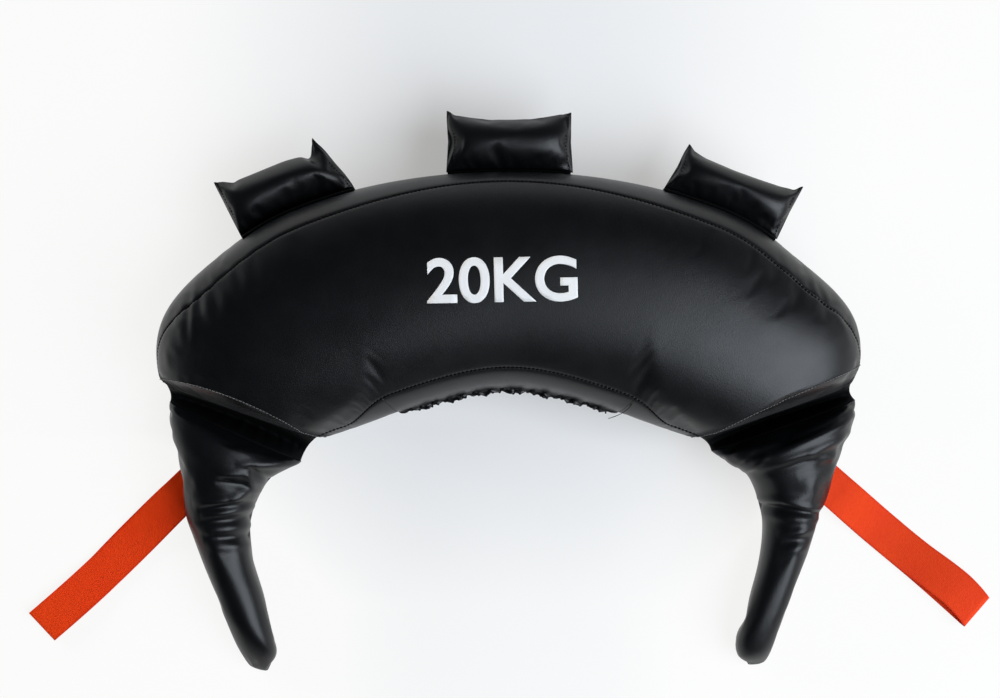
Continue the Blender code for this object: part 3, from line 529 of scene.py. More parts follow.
def neck_shade_mask(shade, spot):
    """1 in the last few millimetres beside a neck, where the leather is roughened and painted dark as the
    crease's shade, 0 elsewhere.
    """
    direction = neck_direction(1.0)
    aside = shade.node("VectorMath", {0: spot}, operation="ABSOLUTE").axes()[0]
    depth = body_slice(1.0)[0].dot(direction) - aside * direction.x - spot.axes()[1] * direction.y
    return shade.node("MapRange", {"Value": depth, 1: NECK_SHADE_FROM, 2: NECK_SHADE_TO, 3: 1.0, 4: 0.0})


def black_leather(name, deep, worn, gloss, shine=0.42, shade_necks=False):
    """Coated leather: pebble grain, faint cloudy wear and a soft uneven gloss; on request painted shade
    beside the necks.
    """
    made, shade, spot = new_finish(name)
    broad = cloud(shade, spot, 9.0)
    smear = cloud(shade, spot, 38.0, 4.0)
    pebble = shade.node("TexVoronoi", {"Vector": spot, "Scale": 900.0}, "Distance")
    fine = cloud(shade, spot, 1400.0, 2.0)
    creases = cloud(shade, spot, 130.0, 5.0, 0.6)
    colour = between(shade, broad * 0.7 + smear * 0.3, deep, worn)
    rough = gloss + (smear - 0.5) * 0.12 + (broad - 0.5) * 0.10 + pebble * 0.05
    if shade_necks:
        unshaded = 1.0 - neck_shade_mask(shade, spot)
        # Beside the necks the colour is darkened to near black: painted shade of the crease; the roughness
        # there is raised too.
        rough = 1.0 - (1.0 - rough) * unshaded
        colour = between(shade, unshaded, (0.0004, 0.0005, 0.0006), colour)
    grain = pebble * 0.6 + fine * 0.4 + smear * 0.5 + creases * 0.8
    return close_finish(made, colour, rough, grain, 0.0003, 0.35, Specular_IOR_Level=shine)


# The crescent's leather carries the painted shade beside the necks.
leather = black_leather("crescent_leather", (0.0012, 0.0015, 0.0019), (0.0034, 0.0041, 0.0051), 0.37,
                        shade_necks=True)


def skin_normal(row, column):
    ahead = skin_points[row][(column + 1) % skin_width] - skin_points[row][column - 1]
    along = skin_points[min(row + 1, SKIN_ROWS)][column] - skin_points[max(row - 1, 0)][column]
    return ahead.cross(along).normalized()


def cut_panel(name, part, rows, *replaced):
    """Cut one panel out of the settled skin, roll its edges into the seams and give it its wall."""
    columns = [(column_start[part] + k) % skin_width for k in range(SKIN_COLUMNS[part] + 1)]
    points = []
    for row in rows:
        line = [skin_points[row][column] for column in columns]
        out = [line[0] - skin_normal(row, columns[0]) * SEAM_DIP, line[0].lerp(line[1], SEAM_ROLL)]
        out += line[1:-1]
        out += [line[-1].lerp(line[-2], SEAM_ROLL), line[-1] - skin_normal(row, columns[-1]) * SEAM_DIP]
        points.append([Vector((spot.x, spot.y, max(spot.z, 0.0))) for spot in out])
    made = lofted(name, points)
    smooth_over(made)
    pinch_folds(made, SHOULDER_FOLDS, SHOULDER_FOLD_STRENGTH)
    give_wall(made, LEATHER_WALL)
    sew_on(made, leather, "crescent", "black_leather", *replaced, fill=0.9)
    return made


all_rows = list(range(SKIN_ROWS + 1))
closure_first = round(SKIN_ROWS * 0.25)
upper_panel = cut_panel("upper_panel", "top", all_rows, "top_panel")
cut_panel("lower_panel", "bottom", all_rows, "bottom_panel")
cut_panel("rim_gusset", "gusset", all_rows, "outer_gusset")
cut_panel("left_inner_strip", "inner", all_rows[:closure_first + 1], "left_inner_gusset")
cut_panel("right_inner_strip", "inner", all_rows[-closure_first - 1:], "right_inner_gusset")

# Long seams: lockstitch in black bonded thread, one stitch every 4 mm, laid along the joints
# between the panels and the gusset. Each stitch stands up a little between its two needle holes.
STITCH_PITCH = 0.0040
STITCH_RADIUS = 0.0007
STITCH_SINK = 0.0004
# Each ring of a stitch: its share of the pitch, its fullness and its rise, in radii.
STITCH_RINGS = ((0.14, 0.45, -0.8), (0.26, 0.95, 0.1), (0.5, 1.1, 0.55), (0.74, 0.95, 0.1),
                (0.86, 0.45, -0.8))


def evenly_along(path, pitch):
    """Walk a path of (point, normal) and give evenly spaced ones."""
    lengths = [0.0]
    for (first, _), (second, _) in zip(path, path[1:]):
        lengths.append(lengths[-1] + (second - first).length)
    count = max(int(lengths[-1] / pitch), 1)
    out = []
    k = 0
    for number in range(count + 1):
        target = lengths[-1] * number / count
        while k < len(path) - 2 and lengths[k + 1] < target:
            k += 1
        share = (target - lengths[k]) / max(lengths[k + 1] - lengths[k], 1e-9)
        (first, up), (second, next_up) = path[k], path[k + 1]
        out.append((first.lerp(second, share), up.lerp(next_up, share).normalized()))
    return out


def stitch_row(name, path, pitch, radius, lift=0.0):
    """Sew a row of separate stitches, each a short spindle that dips at both ends."""
    spots = evenly_along(path, pitch)
    work = bmesh.new()
    for (start, up), (finish, _) in zip(spots, spots[1:]):
        along = finish - start
        side = along.cross(up).normalized()
        rings = []
        for share, fullness, rise in STITCH_RINGS:
            middle = start + along * share + up * (lift + radius * rise)
            rings.append([work.verts.new(middle + (side * math.cos(a) + up * math.sin(a)) * radius * fullness)
                          for a in (math.pi * j / 3.0 for j in range(6))])
        for low, high in zip(rings, rings[1:]):
            for j in range(6):
                work.faces.new((low[j], low[(j + 1) % 6], high[(j + 1) % 6], high[j]))
        work.faces.new(rings[0])
        work.faces.new(rings[-1])
    bmesh.ops.recalc_face_normals(work, faces=work.faces)
    mesh = bpy.data.meshes.new(name)
    work.to_mesh(mesh)
    work.free()
    return set_down(name, mesh)


def thread_finish(name, deep, light, rough=0.5):
    made, shade, spot = new_finish(name)
    twist = threads(shade, spot, 900.0, 1.0, "DIAGONAL")
    lint = cloud(shade, spot, 300.0)
    return close_finish(made, between(shade, twist * 0.6 + lint * 0.4, deep, light), rough + lint * 0.15,
                        twist, 0.0001, Specular_IOR_Level=0.2)


black_thread = thread_finish("bonded_black_thread", (0.0008, 0.0008, 0.0009), (0.0030, 0.0030, 0.0034), 0.75)
for name, part in (("outer_top_seam", "top"), ("inner_top_seam", "inner"),
                   ("inner_bottom_seam", "bottom"), ("outer_bottom_seam", "gusset")):
    column = column_start[part]
    path = []
    for row in all_rows[1:-1]:
        normal = skin_normal(row, column)
        path.append((skin_points[row][column] - normal * STITCH_SINK, normal))
    seam = stitch_row(name + "_stitches", path, STITCH_PITCH, STITCH_RADIUS)
    sew_on(seam, black_thread, "crescent", "black_thread", name)

# Laced closure: the skin is filled through its inner edge, where an upper and a lower leather flap
# meet. Their raw edges are gathered by hand with one heavy black thread that winds round both.
CLOSURE_END = 0.4985
CLOSURE_ROWS = 300
LIP_OUT = 0.0050
LIP_WAVE = 0.0016
# Each row of a lip: its share of the lip's reach and its height over the closing line.
LIP_STEPS = ((0.0, 0.0075), (0.25, 0.0030), (0.6, 0.0021), (1.0, 0.0019))
FLAP_WALL = 0.0015
LACING_STITCHES = 15
LACING_RADIUS = 0.0008
LACING_SHARE = 0.93
TAIL_RADIUS = 0.00035


def skin_at(station, column):
    """A point of the settled skin between its rows."""
    place = (station / BODY_END + 1.0) * SKIN_ROWS / 2.0
    row = min(max(int(place), 0), SKIN_ROWS - 1)
    return skin_points[row][column].lerp(skin_points[row + 1][column], place - row)


def lip_wave(station):
    """Height of the gathered lips above the closing line, with uneven gathers."""
    fade = 1.0 - abs(station / CLOSURE_END) ** 6
    wave = math.sin(50.3 * station) + 0.6 * math.sin(83.0 * station + 0.7) + 0.4 * math.sin(131.0 * station)
    return LIP_WAVE * wave * fade


def lip_reach(station):
    fade = math.sqrt(max(0.0, 1.0 - abs(station / CLOSURE_END) ** 8))
    gather = 1.0 + 0.35 * math.sin(47.0 * station + 0.4) + 0.25 * math.sin(118.0 * station + 1.3)
    return LIP_OUT * (0.35 + 0.65 * fade * gather)


def lip_at(station, out, up):
    middle, outward, half_width, height = body_slice(station)
    level = (height - FLOOR_FLATTENING) / 2.0 + up + lip_wave(station) * min(1.0, max(0.0, out / LIP_OUT))
    return middle - outward * (half_width + out) + UP * level


for name, sign, replaced in (("upper_lip", 1.0, "upper_closure_flap"),
                             ("lower_lip", -1.0, "lower_closure_flap")):
    first = column_start["inner"] if sign > 0.0 else column_start["bottom"]
    columns = [first + int(sign) * k for k in range(SKIN_COLUMNS["inner"] // 2 - 1)]
    rows = []
    for row in range(CLOSURE_ROWS + 1):
        station = CLOSURE_END * (2.0 * row / CLOSURE_ROWS - 1.0)
        line = [skin_at(station, column) for column in columns]
        nearest = min(range(SKIN_ROWS + 1), key=lambda r: abs(skin_stations[r] - station))
        seam_down = skin_normal(nearest, columns[0]) * SEAM_DIP
        line = [line[0] - seam_down, line[0].lerp(line[1], SEAM_ROLL)] + line[1:]
        line += [lip_at(station, lip_reach(station) * out, sign * up) for out, up in LIP_STEPS]
        rows.append(line)
    flap = lofted(name, rows, flip=sign < 0.0)
    smooth_over(flap)
    give_wall(flap, FLAP_WALL)
    sew_on(flap, leather, "crescent", "black_leather", replaced, fill=0.4)


def thread_along(name, points, radius):
    """Lay a round thread along a smooth path, closed at both ends."""
    curve = bpy.data.curves.new(name, "CURVE")
    curve.dimensions = "3D"
    curve.resolution_u = 4
    line = curve.splines.new("NURBS")
    line.points.add(len(points) - 1)
    for place, point in zip(line.points, points):
        place.co = (*point, 1.0)
    line.use_endpoint_u = True
    line.order_u = 4
    curve.bevel_depth = radius
    curve.bevel_resolution = 2
    curve.use_fill_caps = True
    obj = set_down(name, curve)
    pick_only(obj)
    bpy.ops.object.convert(target="MESH")
    return obj


path = []
span = 2.0 * CLOSURE_END * LACING_SHARE
pitch = span / LACING_STITCHES
for stitch in range(LACING_STITCHES):
    for start, side in ((0.0, 1.0), (0.5, -1.0)):
        base = -span / 2.0 + pitch * (stitch + start)
        reach = lip_reach(base + pitch * 0.25)
        wander = 0.10 * math.sin(stitch * 2.3 + start)
        for ahead, out, up in ((0.06 + wander, -0.0042, 0.0052), (0.26, -0.0010, 0.0040),
                               (0.36, 0.0016, 0.0018)):
            path.append(lip_at(base + pitch * ahead, reach + out, side * up))
lacing = thread_along("gathering_thread", path, LACING_RADIUS)
sew_on(lacing, black_thread, "crescent", "black_thread", "closure_lacing")
path = metres((122.5, -3, 119), (119, -10.5, 113), (113, -16, 107), (106, -20, 101), (98.5, -22.5, 96))
tail = thread_along("loose_thread_tail", path, TAIL_RADIUS)
sew_on(tail, black_thread, "crescent", "black_thread")

# Necks: at each end the panels are gathered and sewn round the root of a horn. The crescent's end
# rolls over and drops into a deep crease.
COLLAR_ROWS = 14
COLLAR_WALL = 0.0014
CREASE_DEPTH = 0.034
NECK_GATHER = 0.0014
NECK_HOLLOW = 0.0030
NECK_BEND_START = 0.001
NECK_BEND_LENGTH = 0.0185
NECK_STITCH = {"pitch": 0.0035, "radius": 0.00034, "lift": 0.0003}
NECK_STITCHES_DEG = (-20.0, 205.0)
NECK_SEARCH_ROWS = 24
SLEEVE_ROWS = 84
SLEEVE_POWER = 2.2
SLEEVE_LIFT = 0.0011
SLEEVE_FLATTENING = 0.003
ROOT_DROP = 0.012
ROOT_SHARE = 0.05
FLANGE_DEPTH = 0.0024
FLANGE_REACH = 0.0045
# Each horn from root to tip: its outer and its inner edge as seen from above.
LEFT_SLEEVE = metres(
    (-344.2, -7.4, -211, -68.2), (-343.7, -23.7, -224.6, -76.5), (-341.5, -42.1, -239.2, -85.8),
    (-337.2, -61.5, -250.9, -101.1), (-332.2, -89.4, -259.9, -122), (-329, -118.4, -262.7, -140.8),
    (-322.4, -139.1, -260, -169.8), (-311.7, -170.1, -251.2, -200.9), (-299.7, -201.2, -245.3, -225.8),
    (-289.8, -228.1, -239.5, -252.8), (-279.8, -256.2, -238.7, -268.5), (-269.7, -276.9, -247, -284.1),
    (-264, -284, -251, -287.2),
)
RIGHT_SLEEVE = metres(
    (352.5, -5.4, 206.3, -57.8), (350.1, -21.7, 224.8, -72.2), (345.8, -38, 238.5, -80.5),
    (339.5, -56.5, 248.2, -95), (330.6, -83.3, 255.2, -113.8), (320.3, -114.3, 259, -134.7),
    (312.7, -139.1, 255.4, -169.8), (301.9, -170.1, 247.6, -200.9), (291, -201.2, 240.8, -225.8),
    (282.1, -228.1, 233.8, -250.7), (272.2, -258.2, 236.2, -268.5), (267.2, -273.8, 246.6, -278),
    (262, -280, 249, -281.2),
)
SLEEVE_HEIGHTS = metres((80, 88, 88, 82, 74, 68, 64, 60, 55, 48, 36, 19, 8))[0]


def curve_through(values, share):
    """Follow a row of values smoothly, from 0 at the first to 1 at the last."""
    place = share * (len(values) - 1)
    k = min(int(place), len(values) - 2)
    t = place - k
    a, b, c, d = (values[min(max(k + j, 0), len(values) - 1)] for j in (-1, 0, 1, 2))
    return 0.5 * (2.0 * b + (c - a) * t + (2.0 * a - 5.0 * b + 4.0 * c - d) * t * t
                  + (3.0 * b - a - 3.0 * c + d) * t ** 3)


def sleeve_at(outline, share, degrees, inset=0.0):
    """A point of a horn: 0 degrees is its outer edge, 90 its top, 180 its inner edge."""
    ax, ay, bx, by = (curve_through(values, share) for values in zip(*outline))
    outer, inner = Vector((ax, ay, 0.0)), Vector((bx, by, 0.0))
    height = curve_through(SLEEVE_HEIGHTS, share)
    width = (outer - inner).length
    x, z = oval(width / 2.0 - inset, (height + SLEEVE_FLATTENING) / 2.0 - inset, degrees, SLEEVE_POWER)
    level = max(z + (height - SLEEVE_FLATTENING) / 2.0, inset) + SLEEVE_LIFT
    level -= ROOT_DROP * max(0.0, math.sin(math.radians(degrees))) ** 0.7 * (1.0 - eased(share / ROOT_SHARE))
    return (outer + inner) / 2.0 + (outer - inner) / width * x + UP * level


def neck_rows(side, outline):
    """Rows of a collar: a flange inside the crescent, the crease, and a flange inside the horn."""
    end = skin_points[SKIN_ROWS] if side > 0.0 else skin_points[0]
    middle = sum(end, Vector()) / len(end)
    centre = end[0].lerp(end[column_start["inner"]], 0.5)
    rows = []
    for reach in (-FLANGE_REACH, 0.0003):
        rows.append([spot + (middle - spot).normalized() * FLANGE_DEPTH + neck_direction(side) * reach
                     for spot in end])
    for i in range(COLLAR_ROWS + 1):
        share = i / COLLAR_ROWS
        hollow = math.sin(math.pi * share) ** 0.8
        row = []
        for k, degrees in enumerate(end_angles):
            finish = sleeve_at(outline, 0.0, degrees)
            spot = end[k].lerp(finish, share)
            over = max(0.0, math.sin(math.radians(degrees)))
            fall = eased(share / 0.6)
            spot.z = end[k].z + (finish.z - end[k].z) * (fall * over + share * (1.0 - over))
            spot.z -= CREASE_DEPTH * over ** 0.7 * math.sin(math.pi * share ** 0.72) ** 1.6
            flat = Vector((spot.x - centre.x, spot.y - centre.y, 0.0))
            pleat = NECK_GATHER * (math.sin(degrees * 0.42) + 0.7 * math.sin(degrees * 0.77 + side))
            spot -= flat.normalized() * hollow * (NECK_HOLLOW + pleat) * (1.0 - 0.5 * over)
            spot.z += pleat * hollow * over
            spot.z = max(spot.z, SLEEVE_LIFT * share)
            row.append(spot)
        rows.append(row)
    for share in (0.0, 0.02):
        rows.append([sleeve_at(outline, share, degrees, FLANGE_DEPTH) for degrees in end_angles])
    return rows


# A darker, matt copy of the leather for the collars in the neck creases and the strips under the grips: its
# darker colour is painted shade.
shaded_matt_leather = black_leather("shaded_matt_leather", (0.0008, 0.0010, 0.0012), (0.0016, 0.0019, 0.0023), 0.75, 0.08)
# Grey thread for the neck seams, which are sewn in black thread: its grey is a painted glint.
glint_grey_thread = thread_finish("glint_grey_neck_thread", (0.10, 0.10, 0.10), (0.26, 0.25, 0.24))
for side, prefix, outline in ((-1.0, "left", LEFT_SLEEVE), (1.0, "right", RIGHT_SLEEVE)):
    neck = lofted(prefix + "_neck", neck_rows(side, outline), ring=True, flip=side < 0.0)
    smooth_over(neck)
    give_wall(neck, COLLAR_WALL)
    # The collar takes the darker matt copy: painted shade in the neck crease.
    sew_on(neck, shaded_matt_leather, None, "black_leather", prefix + "_collar")
    start = body_slice(side)[0] + neck_direction(side) * NECK_BEND_START
    finish = start + neck_direction(side) * NECK_BEND_LENGTH
    prefix + "_horn"
    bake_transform(neck)
    path = []
    for k, degrees in enumerate(end_angles):
        if not NECK_STITCHES_DEG[0] <= degrees <= NECK_STITCHES_DEG[1]:
            continue
        line = range(NECK_SEARCH_ROWS, -1, -1)
        if side > 0.0:
            line = range(SKIN_ROWS - NECK_SEARCH_ROWS, SKIN_ROWS + 1)
        for row, following in zip(line, line[1:]):
            depth = neck_depth(skin_points[row][k])
            deeper = neck_depth(skin_points[following][k])
            if deeper < end_roll(side, degrees):
                break
        share = min(max((depth - end_roll(side, degrees)) / (depth - deeper), 0.0), 1.0)
        path.append((skin_points[row][k].lerp(skin_points[following][k], share), skin_normal(row, k)))
    stitches = stitch_row(prefix + "_neck_stitches", path, **NECK_STITCH)
    sew_on(stitches, glint_grey_thread, "crescent", "black_thread", prefix + "_collar_stitching")

# Horns: tapered leather sleeves, stuffed firmly with fibre, that serve as the main handles. The
# open end is turned in and sewn flat at the tip; where a horn bends its inner side wrinkles.
HORN_FOLD_STRENGTH = 1.15
SLEEVE_WALL = 0.0014
STUFFING_INSET = 0.0085
STUFFING_SHARE = 0.8
TIP_SEAM_SHARE = 0.935
TIP_STITCH = {"pitch": 0.0032, "radius": 0.0004, "lift": 0.0006}
SLEEVE_REST = 0.0025
LEFT_FOLDS = metres(
    (-261, -69, -217, -69, 4.5, 2.8), (-256, -73, -241, -89, 4, -2.6), (-289, -78, -259, -78, 5, 2.4),
    (-259, -78, -254, -97, 4, 2), (-285, -86, -253, -93, 4.5, -3), (-308, -108, -267, -103, 5, 2.6),
    (-274, -103, -256, -92, 4.5, 2.4), (-302, -114, -258, -109, 3.5, -2.2),
    (-300, -119, -261, -113, 4.5, 2.4), (-305, -128, -258, -124, 4, -2.2), (-304, -135, -259, -133, 5, 1.8),
    (-298, -144, -258, -143, 4, -1.8), (-296, -152, -258, -153, 5, 1.4),
)
RIGHT_FOLDS = metres(
    (252, -63, 343, -23, 6, 2.8), (256, -56, 329, -25, 5, -2), (258, -70, 339, -41, 5, 2.2),
    (261, -76, 335, -52, 5, -1.8), (299, -60, 327, -62, 5, 2.4), (293, -78, 327, -68, 6, -1.8),
    (299, -76, 299, -104, 11, 2.2), (256, -106, 293, -104, 4.5, 1.8), (280, -109, 311, -115, 3.5, 2.6),
    (256, -113, 313, -119, 4, -3.6), (261, -122, 309, -125, 5, 1.6), (275, -139, 305, -135, 4.5, 1.8),
    (278, -147, 301, -144, 4, -1.8), (277, -156, 299, -154, 4.5, 1.4), (236, -28, 219, -63, 4, -3),
    (233, -71, 248, -57, 3.5, -2.4), (239, -76, 255, -61, 3.5, 2), (328, -66, 339, -42, 4, -2),
)


def stuff_with_fibre(name, rings, inset, limit, body, replaced):
    """Fill a skin with fibre: its rings of points drawn in towards their middles."""
    rows = []
    for ring in rings:
        middle = sum(ring, Vector()) / len(ring)
        rows.append([spot.lerp(middle, min(inset / (spot - middle).length, limit)) for spot in ring])
    stuffing = lofted(name, rows, ring=True, caps=True)
    sew_on(stuffing, wadding_felt, body, "grey_wadding", replaced, fill=0.9)


sleeve_leather = black_leather("sleeve_leather", (0.0018, 0.0022, 0.0027), (0.0044, 0.0052, 0.0063),
                               0.34, 0.36)
for prefix, outline, folds in (("left", LEFT_SLEEVE, LEFT_FOLDS), ("right", RIGHT_SLEEVE, RIGHT_FOLDS)):
    body = prefix + "_horn"
    rows = [[sleeve_at(outline, row / SLEEVE_ROWS, degrees) for degrees in end_angles]
            for row in range(SLEEVE_ROWS + 1)]
    sleeve = lofted(prefix + "_sleeve", rows, ring=True, flip=prefix == "left")
    width = len(end_angles)
    held = list(range(width * 2)) + list(range(width * (SLEEVE_ROWS - 3), width * (SLEEVE_ROWS + 1)))
    held += [k for k, vertex in enumerate(sleeve.data.vertices) if vertex.co.z < SLEEVE_REST]
    settle_cloth(sleeve, held, pressure=3.0, swell=0.012, cap=0.004)
    for vertex in sleeve.data.vertices:
        vertex.co.z = max(vertex.co.z, SLEEVE_LIFT * 0.9)
    settled = [vertex.co.copy() for vertex in sleeve.data.vertices]
    work = bmesh.new()
    work.from_mesh(sleeve.data)
    work.verts.ensure_lookup_table()
    last = [work.verts[k] for k in range(width * SLEEVE_ROWS, width * (SLEEVE_ROWS + 1))]
    middle = work.verts.new(sum((vert.co for vert in last), Vector()) / width)
    for pair in zip(last, last[1:] + last[:1]):
        work.faces.new((*pair, middle) if prefix == "right" else (*reversed(pair), middle))
    work.to_mesh(sleeve.data)
    work.free()
    smooth_over(sleeve)
    pinch_folds(sleeve, folds, HORN_FOLD_STRENGTH)
    give_wall(sleeve, SLEEVE_WALL)
    sew_on(sleeve, sleeve_leather, body, "black_leather", prefix + "_horn_sleeve", fill=0.9)
    rings = [settled[row * width:(row + 1) * width] for row in range(1, round(SLEEVE_ROWS * STUFFING_SHARE))]
    stuff_with_fibre(prefix + "_horn_fibre", rings, STUFFING_INSET, 0.5, body, prefix + "_horn_stuffing")
    path = [(sleeve_at(outline, TIP_SEAM_SHARE, 12.0 + 156.0 * k / 24.0), UP) for k in range(25)]
    tip = stitch_row(prefix + "_tip_stitches", path, **TIP_STITCH)
    sew_on(tip, black_thread, body, "black_thread", prefix + "_horn_tip_stitching")

# Webbing loops: bands of woven orange-red polyester webbing, 39 mm wide, folded flat, with both ends
# sewn as a tab under the outer side of a horn. They lie on the floor and serve as extra handles.
WEBBING_WIDTH = 0.039
WEBBING_LAYER = 0.0013
HALF_GAP = 0.0007
LOOP_PIVOT_HEIGHT = 0.016
LOOP_LOW = 0.0012
LOOP_BEND = 0.006
LOOP_COLUMNS = 12
LOOP_ROWS = 120
TAB_REACH = 0.04
TAB_MARGIN = 0.0012
# Each loop: side, prefix, pivot, far end, shift of the root, opening of the fold, bow, and how far
# its lower and its upper layer slip sideways.
LOOPS = (
    (-1.0, "left", (-0.33915, -0.10215), (-0.48375, -0.24230), -0.0030, 0.0050, -0.0022, (0.0015, 0.0)),
    (1.0, "right", (0.33971, -0.10153), (0.4850, -0.2268), 0.0, 0.0120, 0.0012, (-0.0004, 0.0036)),
)


def webbing(name, deep, light):
    """Flat woven webbing: fine ribs across, twill lines along, worn selvedges."""
    made, shade, spot = new_finish(name)
    run, across, _ = shade.node("UVMap", uv_map="run").axes()
    rib = shade.maths("SINE", run * 5200.0 + across * 1500.0)
    twill = shade.maths("SINE", across * 4200.0 - run * 900.0)
    fade = cloud(shade, spot, 22.0)
    lint = cloud(shade, spot, 420.0)
    edge = shade.maths("ABSOLUTE", across - WEBBING_WIDTH / 2.0)
    selvedge = shade.node("MapRange", {"Value": edge, 1: 0.0168, 2: 0.0182, 3: 0.0, 4: 1.0})
    tone = 0.5 + rib * 0.16 + twill * 0.10 + (fade - 0.5) * 0.5 + (lint - 0.5) * 0.3 - selvedge * 0.2
    return close_finish(made, between(shade, tone, deep, light), 0.55 + fade * 0.15 - rib * 0.03,
                        rib * 0.6 + twill * 0.4 + selvedge * 1.2, 0.00022, 0.6, Specular_IOR_Level=0.15)


red_webbing = webbing("red_webbing_weave", (0.72, 0.024, 0.002), (0.97, 0.078, 0.008))


def band(name, rows):
    """Give rows of points across a flat band their wall, and map run and width for the weave."""
    made = lofted(name, rows)
    runs = [[0.0] * len(rows[0])]
    for first, second in zip(rows, rows[1:]):
        runs.append([run + (b - a).length for run, a, b in zip(runs[-1], first, second)])
    layer = made.data.uv_layers.new(name="run")
    for loop in made.data.loops:
        row, column = divmod(loop.vertex_index, len(rows[0]))
        layer.data[loop.index].uv = (runs[row][column], WEBBING_WIDTH * column / LOOP_COLUMNS)
    give_wall(made, WEBBING_LAYER, 0.0)
    rim = made.modifiers.new("Rim", "BEVEL")
    rim.width = WEBBING_LAYER * 0.3
    rim.segments = 2
    rim.limit_method = "ANGLE"
    apply_all(made)
    return made


def loop_side(length, opening, root):
    """Side view of a loop as (run, height, layer): out along the floor, round the end fold and back."""
    low = LOOP_LOW + WEBBING_LAYER / 2.0
    high = low + opening
    radius = opening / 2.0
    path = [(0.0, root - HALF_GAP, 0)]
    path += [(length * share, low + (root - HALF_GAP - low) * (1.0 - eased(share / 0.30)), 0)
             for share in (0.06, 0.12, 0.18, 0.24, 0.30, 0.38, 0.48, 0.58, 0.68, 0.78, 0.88)]
    for k in range(13):
        angle = math.radians(-90.0 + 15.0 * k)
        path.append((length - radius - WEBBING_LAYER / 2.0 + radius * math.cos(angle),
                     low + radius + radius * math.sin(angle), int(k > 6)))
    rest = low + WEBBING_LAYER * 1.25
    for share in (0.92, 0.86, 0.80, 0.70, 0.58, 0.46, 0.36, 0.28, 0.20, 0.14, 0.08, 0.03):
        lie = rest + (high - rest) * eased((share - 0.42) / 0.5)
        path.append((length * share, lie + (root + HALF_GAP - lie) * (1.0 - eased(share / 0.34)), 1))
    path.append((0.0, root + HALF_GAP, 1))
    return path


for side, prefix, pivot, end, shift, opening, bow, slips in LOOPS:
    end = Vector((*end, 0.0))
    pivot = Vector((*pivot, 0.0))
    direction = (end - pivot).normalized()
    pivot += Vector((-direction.y, direction.x, 0.0)) * side * shift
    direction = (end - pivot).normalized()
    across = Vector((-direction.y, direction.x, 0.0)) * side
    length = (end - pivot).length
    path = []
    for run, height, layer in loop_side(length, opening, LOOP_PIVOT_HEIGHT):
        place = run / length
        slip = min(1.0, place / 0.6) if layer == 0 else max(0.0, (place - 0.5) / 0.5) ** 1.6
        aside = bow * math.sin(math.pi * place ** 1.4) + slips[layer] * math.sin(math.pi * slip)
        ripple = 0.0004 * math.sin(math.pi * place) * math.sin(9.0 * place + side)
        path.append(pivot + direction * run + across * aside + UP * (height + ripple))
    horn = BVHTree.FromObject(bpy.data.objects[prefix + "_sleeve"], bpy.context.evaluated_depsgraph_get())
    offsets = [across * WEBBING_WIDTH * (j / LOOP_COLUMNS - 0.5) for j in range(LOOP_COLUMNS + 1)]
    line = [pivot + offset + UP * LOOP_PIVOT_HEIGHT for offset in offsets]
    reach = []
    for root in line:
        distance = horn.ray_cast(root + direction * TAB_REACH, -direction, 0.09)[3]
        reach.append(max(0.0010, (distance or 0.05) - TAB_REACH + TAB_MARGIN))
    tab = [[root - direction * far * back + UP * 0.002 * back for root, far in zip(line, reach)]
           for back in (1.0, 0.8, 0.6, 0.4, 0.2)]
    rows = [[spot - UP * HALF_GAP for spot in row] for row in tab]
    for row in range(LOOP_ROWS + 1):
        middle = Vector([curve_through(values, row / LOOP_ROWS) for values in zip(*path)])
        rows.append([middle + offset for offset in offsets])
    rows += [[spot + UP * HALF_GAP for spot in row] for row in reversed(tab)]
    loop = band(prefix + "_loop_band", rows)
    for vertex in loop.data.vertices:
        vertex.co.z = max(vertex.co.z, 0.0006)
    sew_on(loop, red_webbing, None, "red_webbing", prefix + "_webbing_loop", prefix + "_loop_tab")
    prefix + "_horn"
    prefix + "_loop"
    tuple(pivot - direction * LOOP_BEND)
    tuple(pivot + direction * LOOP_BEND)
    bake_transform(loop)

# Grips: three small leather pillows stuffed with fibre, each sewn along its foot to a leather strip on
# the gusset and closed along its ends and its outer edge. Their corners stand out as ears.
GRIP_STANDOFF = 0.00325
GRIP_ROWS = 56
GRIP_RING = 44
GRIP_LOFT = 0.0185
GRIP_SEAM = 0.0016
GRIP_CREST = 0.52
GRIP_FOOT = -0.00105
GRIP_STUFFING_INSET = 0.0045
STRIP_RISE = 0.0020
STRIP_WALL = 0.0016
STRIP_LINES = range(6, 11)
STRIP_STEPS = 40
GRIP_STITCH = {"pitch": 0.0032, "radius": 0.00035, "lift": 0.0004}
# Each grip: its outer edge from end to end, then both its ends from foot to ear.
GRIP_SHAPES = {
    "left": metres(
        (51.1, 48.8, 45.5, 45.7, 45.7, 45.8, 45.9, 45.9, 45.9, 45.2, 43.8, 40.5, 57.3),
        (-64, -65.5, -67, -68.5, -70.2), (59, 55.3, 49.5, 44.5, 37.6)),
    "centre": metres(
        (57.7, 54.7, 53, 52, 51.4, 51, 50.8, 50.9, 51.4, 52, 53.2, 54.6, 56),
        (-62, -59.2, -55.7, -61, -61.6), (64.2, 61.4, 60, 62.2, 62.6)),
    "right": metres(
        (46.2, 42, 40.2, 39.9, 39.7, 39.5, 39.6, 39.7, 39.9, 40.2, 40.6, 42.5, 47.2),
        (-57.4, -53.5, -50.4, -51.8, -49.8), (65.9, 65.6, 67.5, 69.5, 71.8)),
}
STRIP_ENDS_DEG = {"left": (-12.8, 10.7), "centre": (-9.9, 10.1), "right": (-10.5, 13.1)}


def grip_frame(turn_degrees):
    """Give the hinge point on the rim seam, the direction along it and the direction outwards."""
    station = turn_degrees / RIM_END_DEG
    tangent = (rim_at(station + 0.01) - rim_at(station - 0.01)).normalized()
    normal = Vector((-tangent.y, tangent.x, 0.0))
    level = (body_slice(station)[3] - FLOOR_FLATTENING) / 2.0
    return rim_at(station) + normal * GRIP_STANDOFF + UP * level, tangent, normal


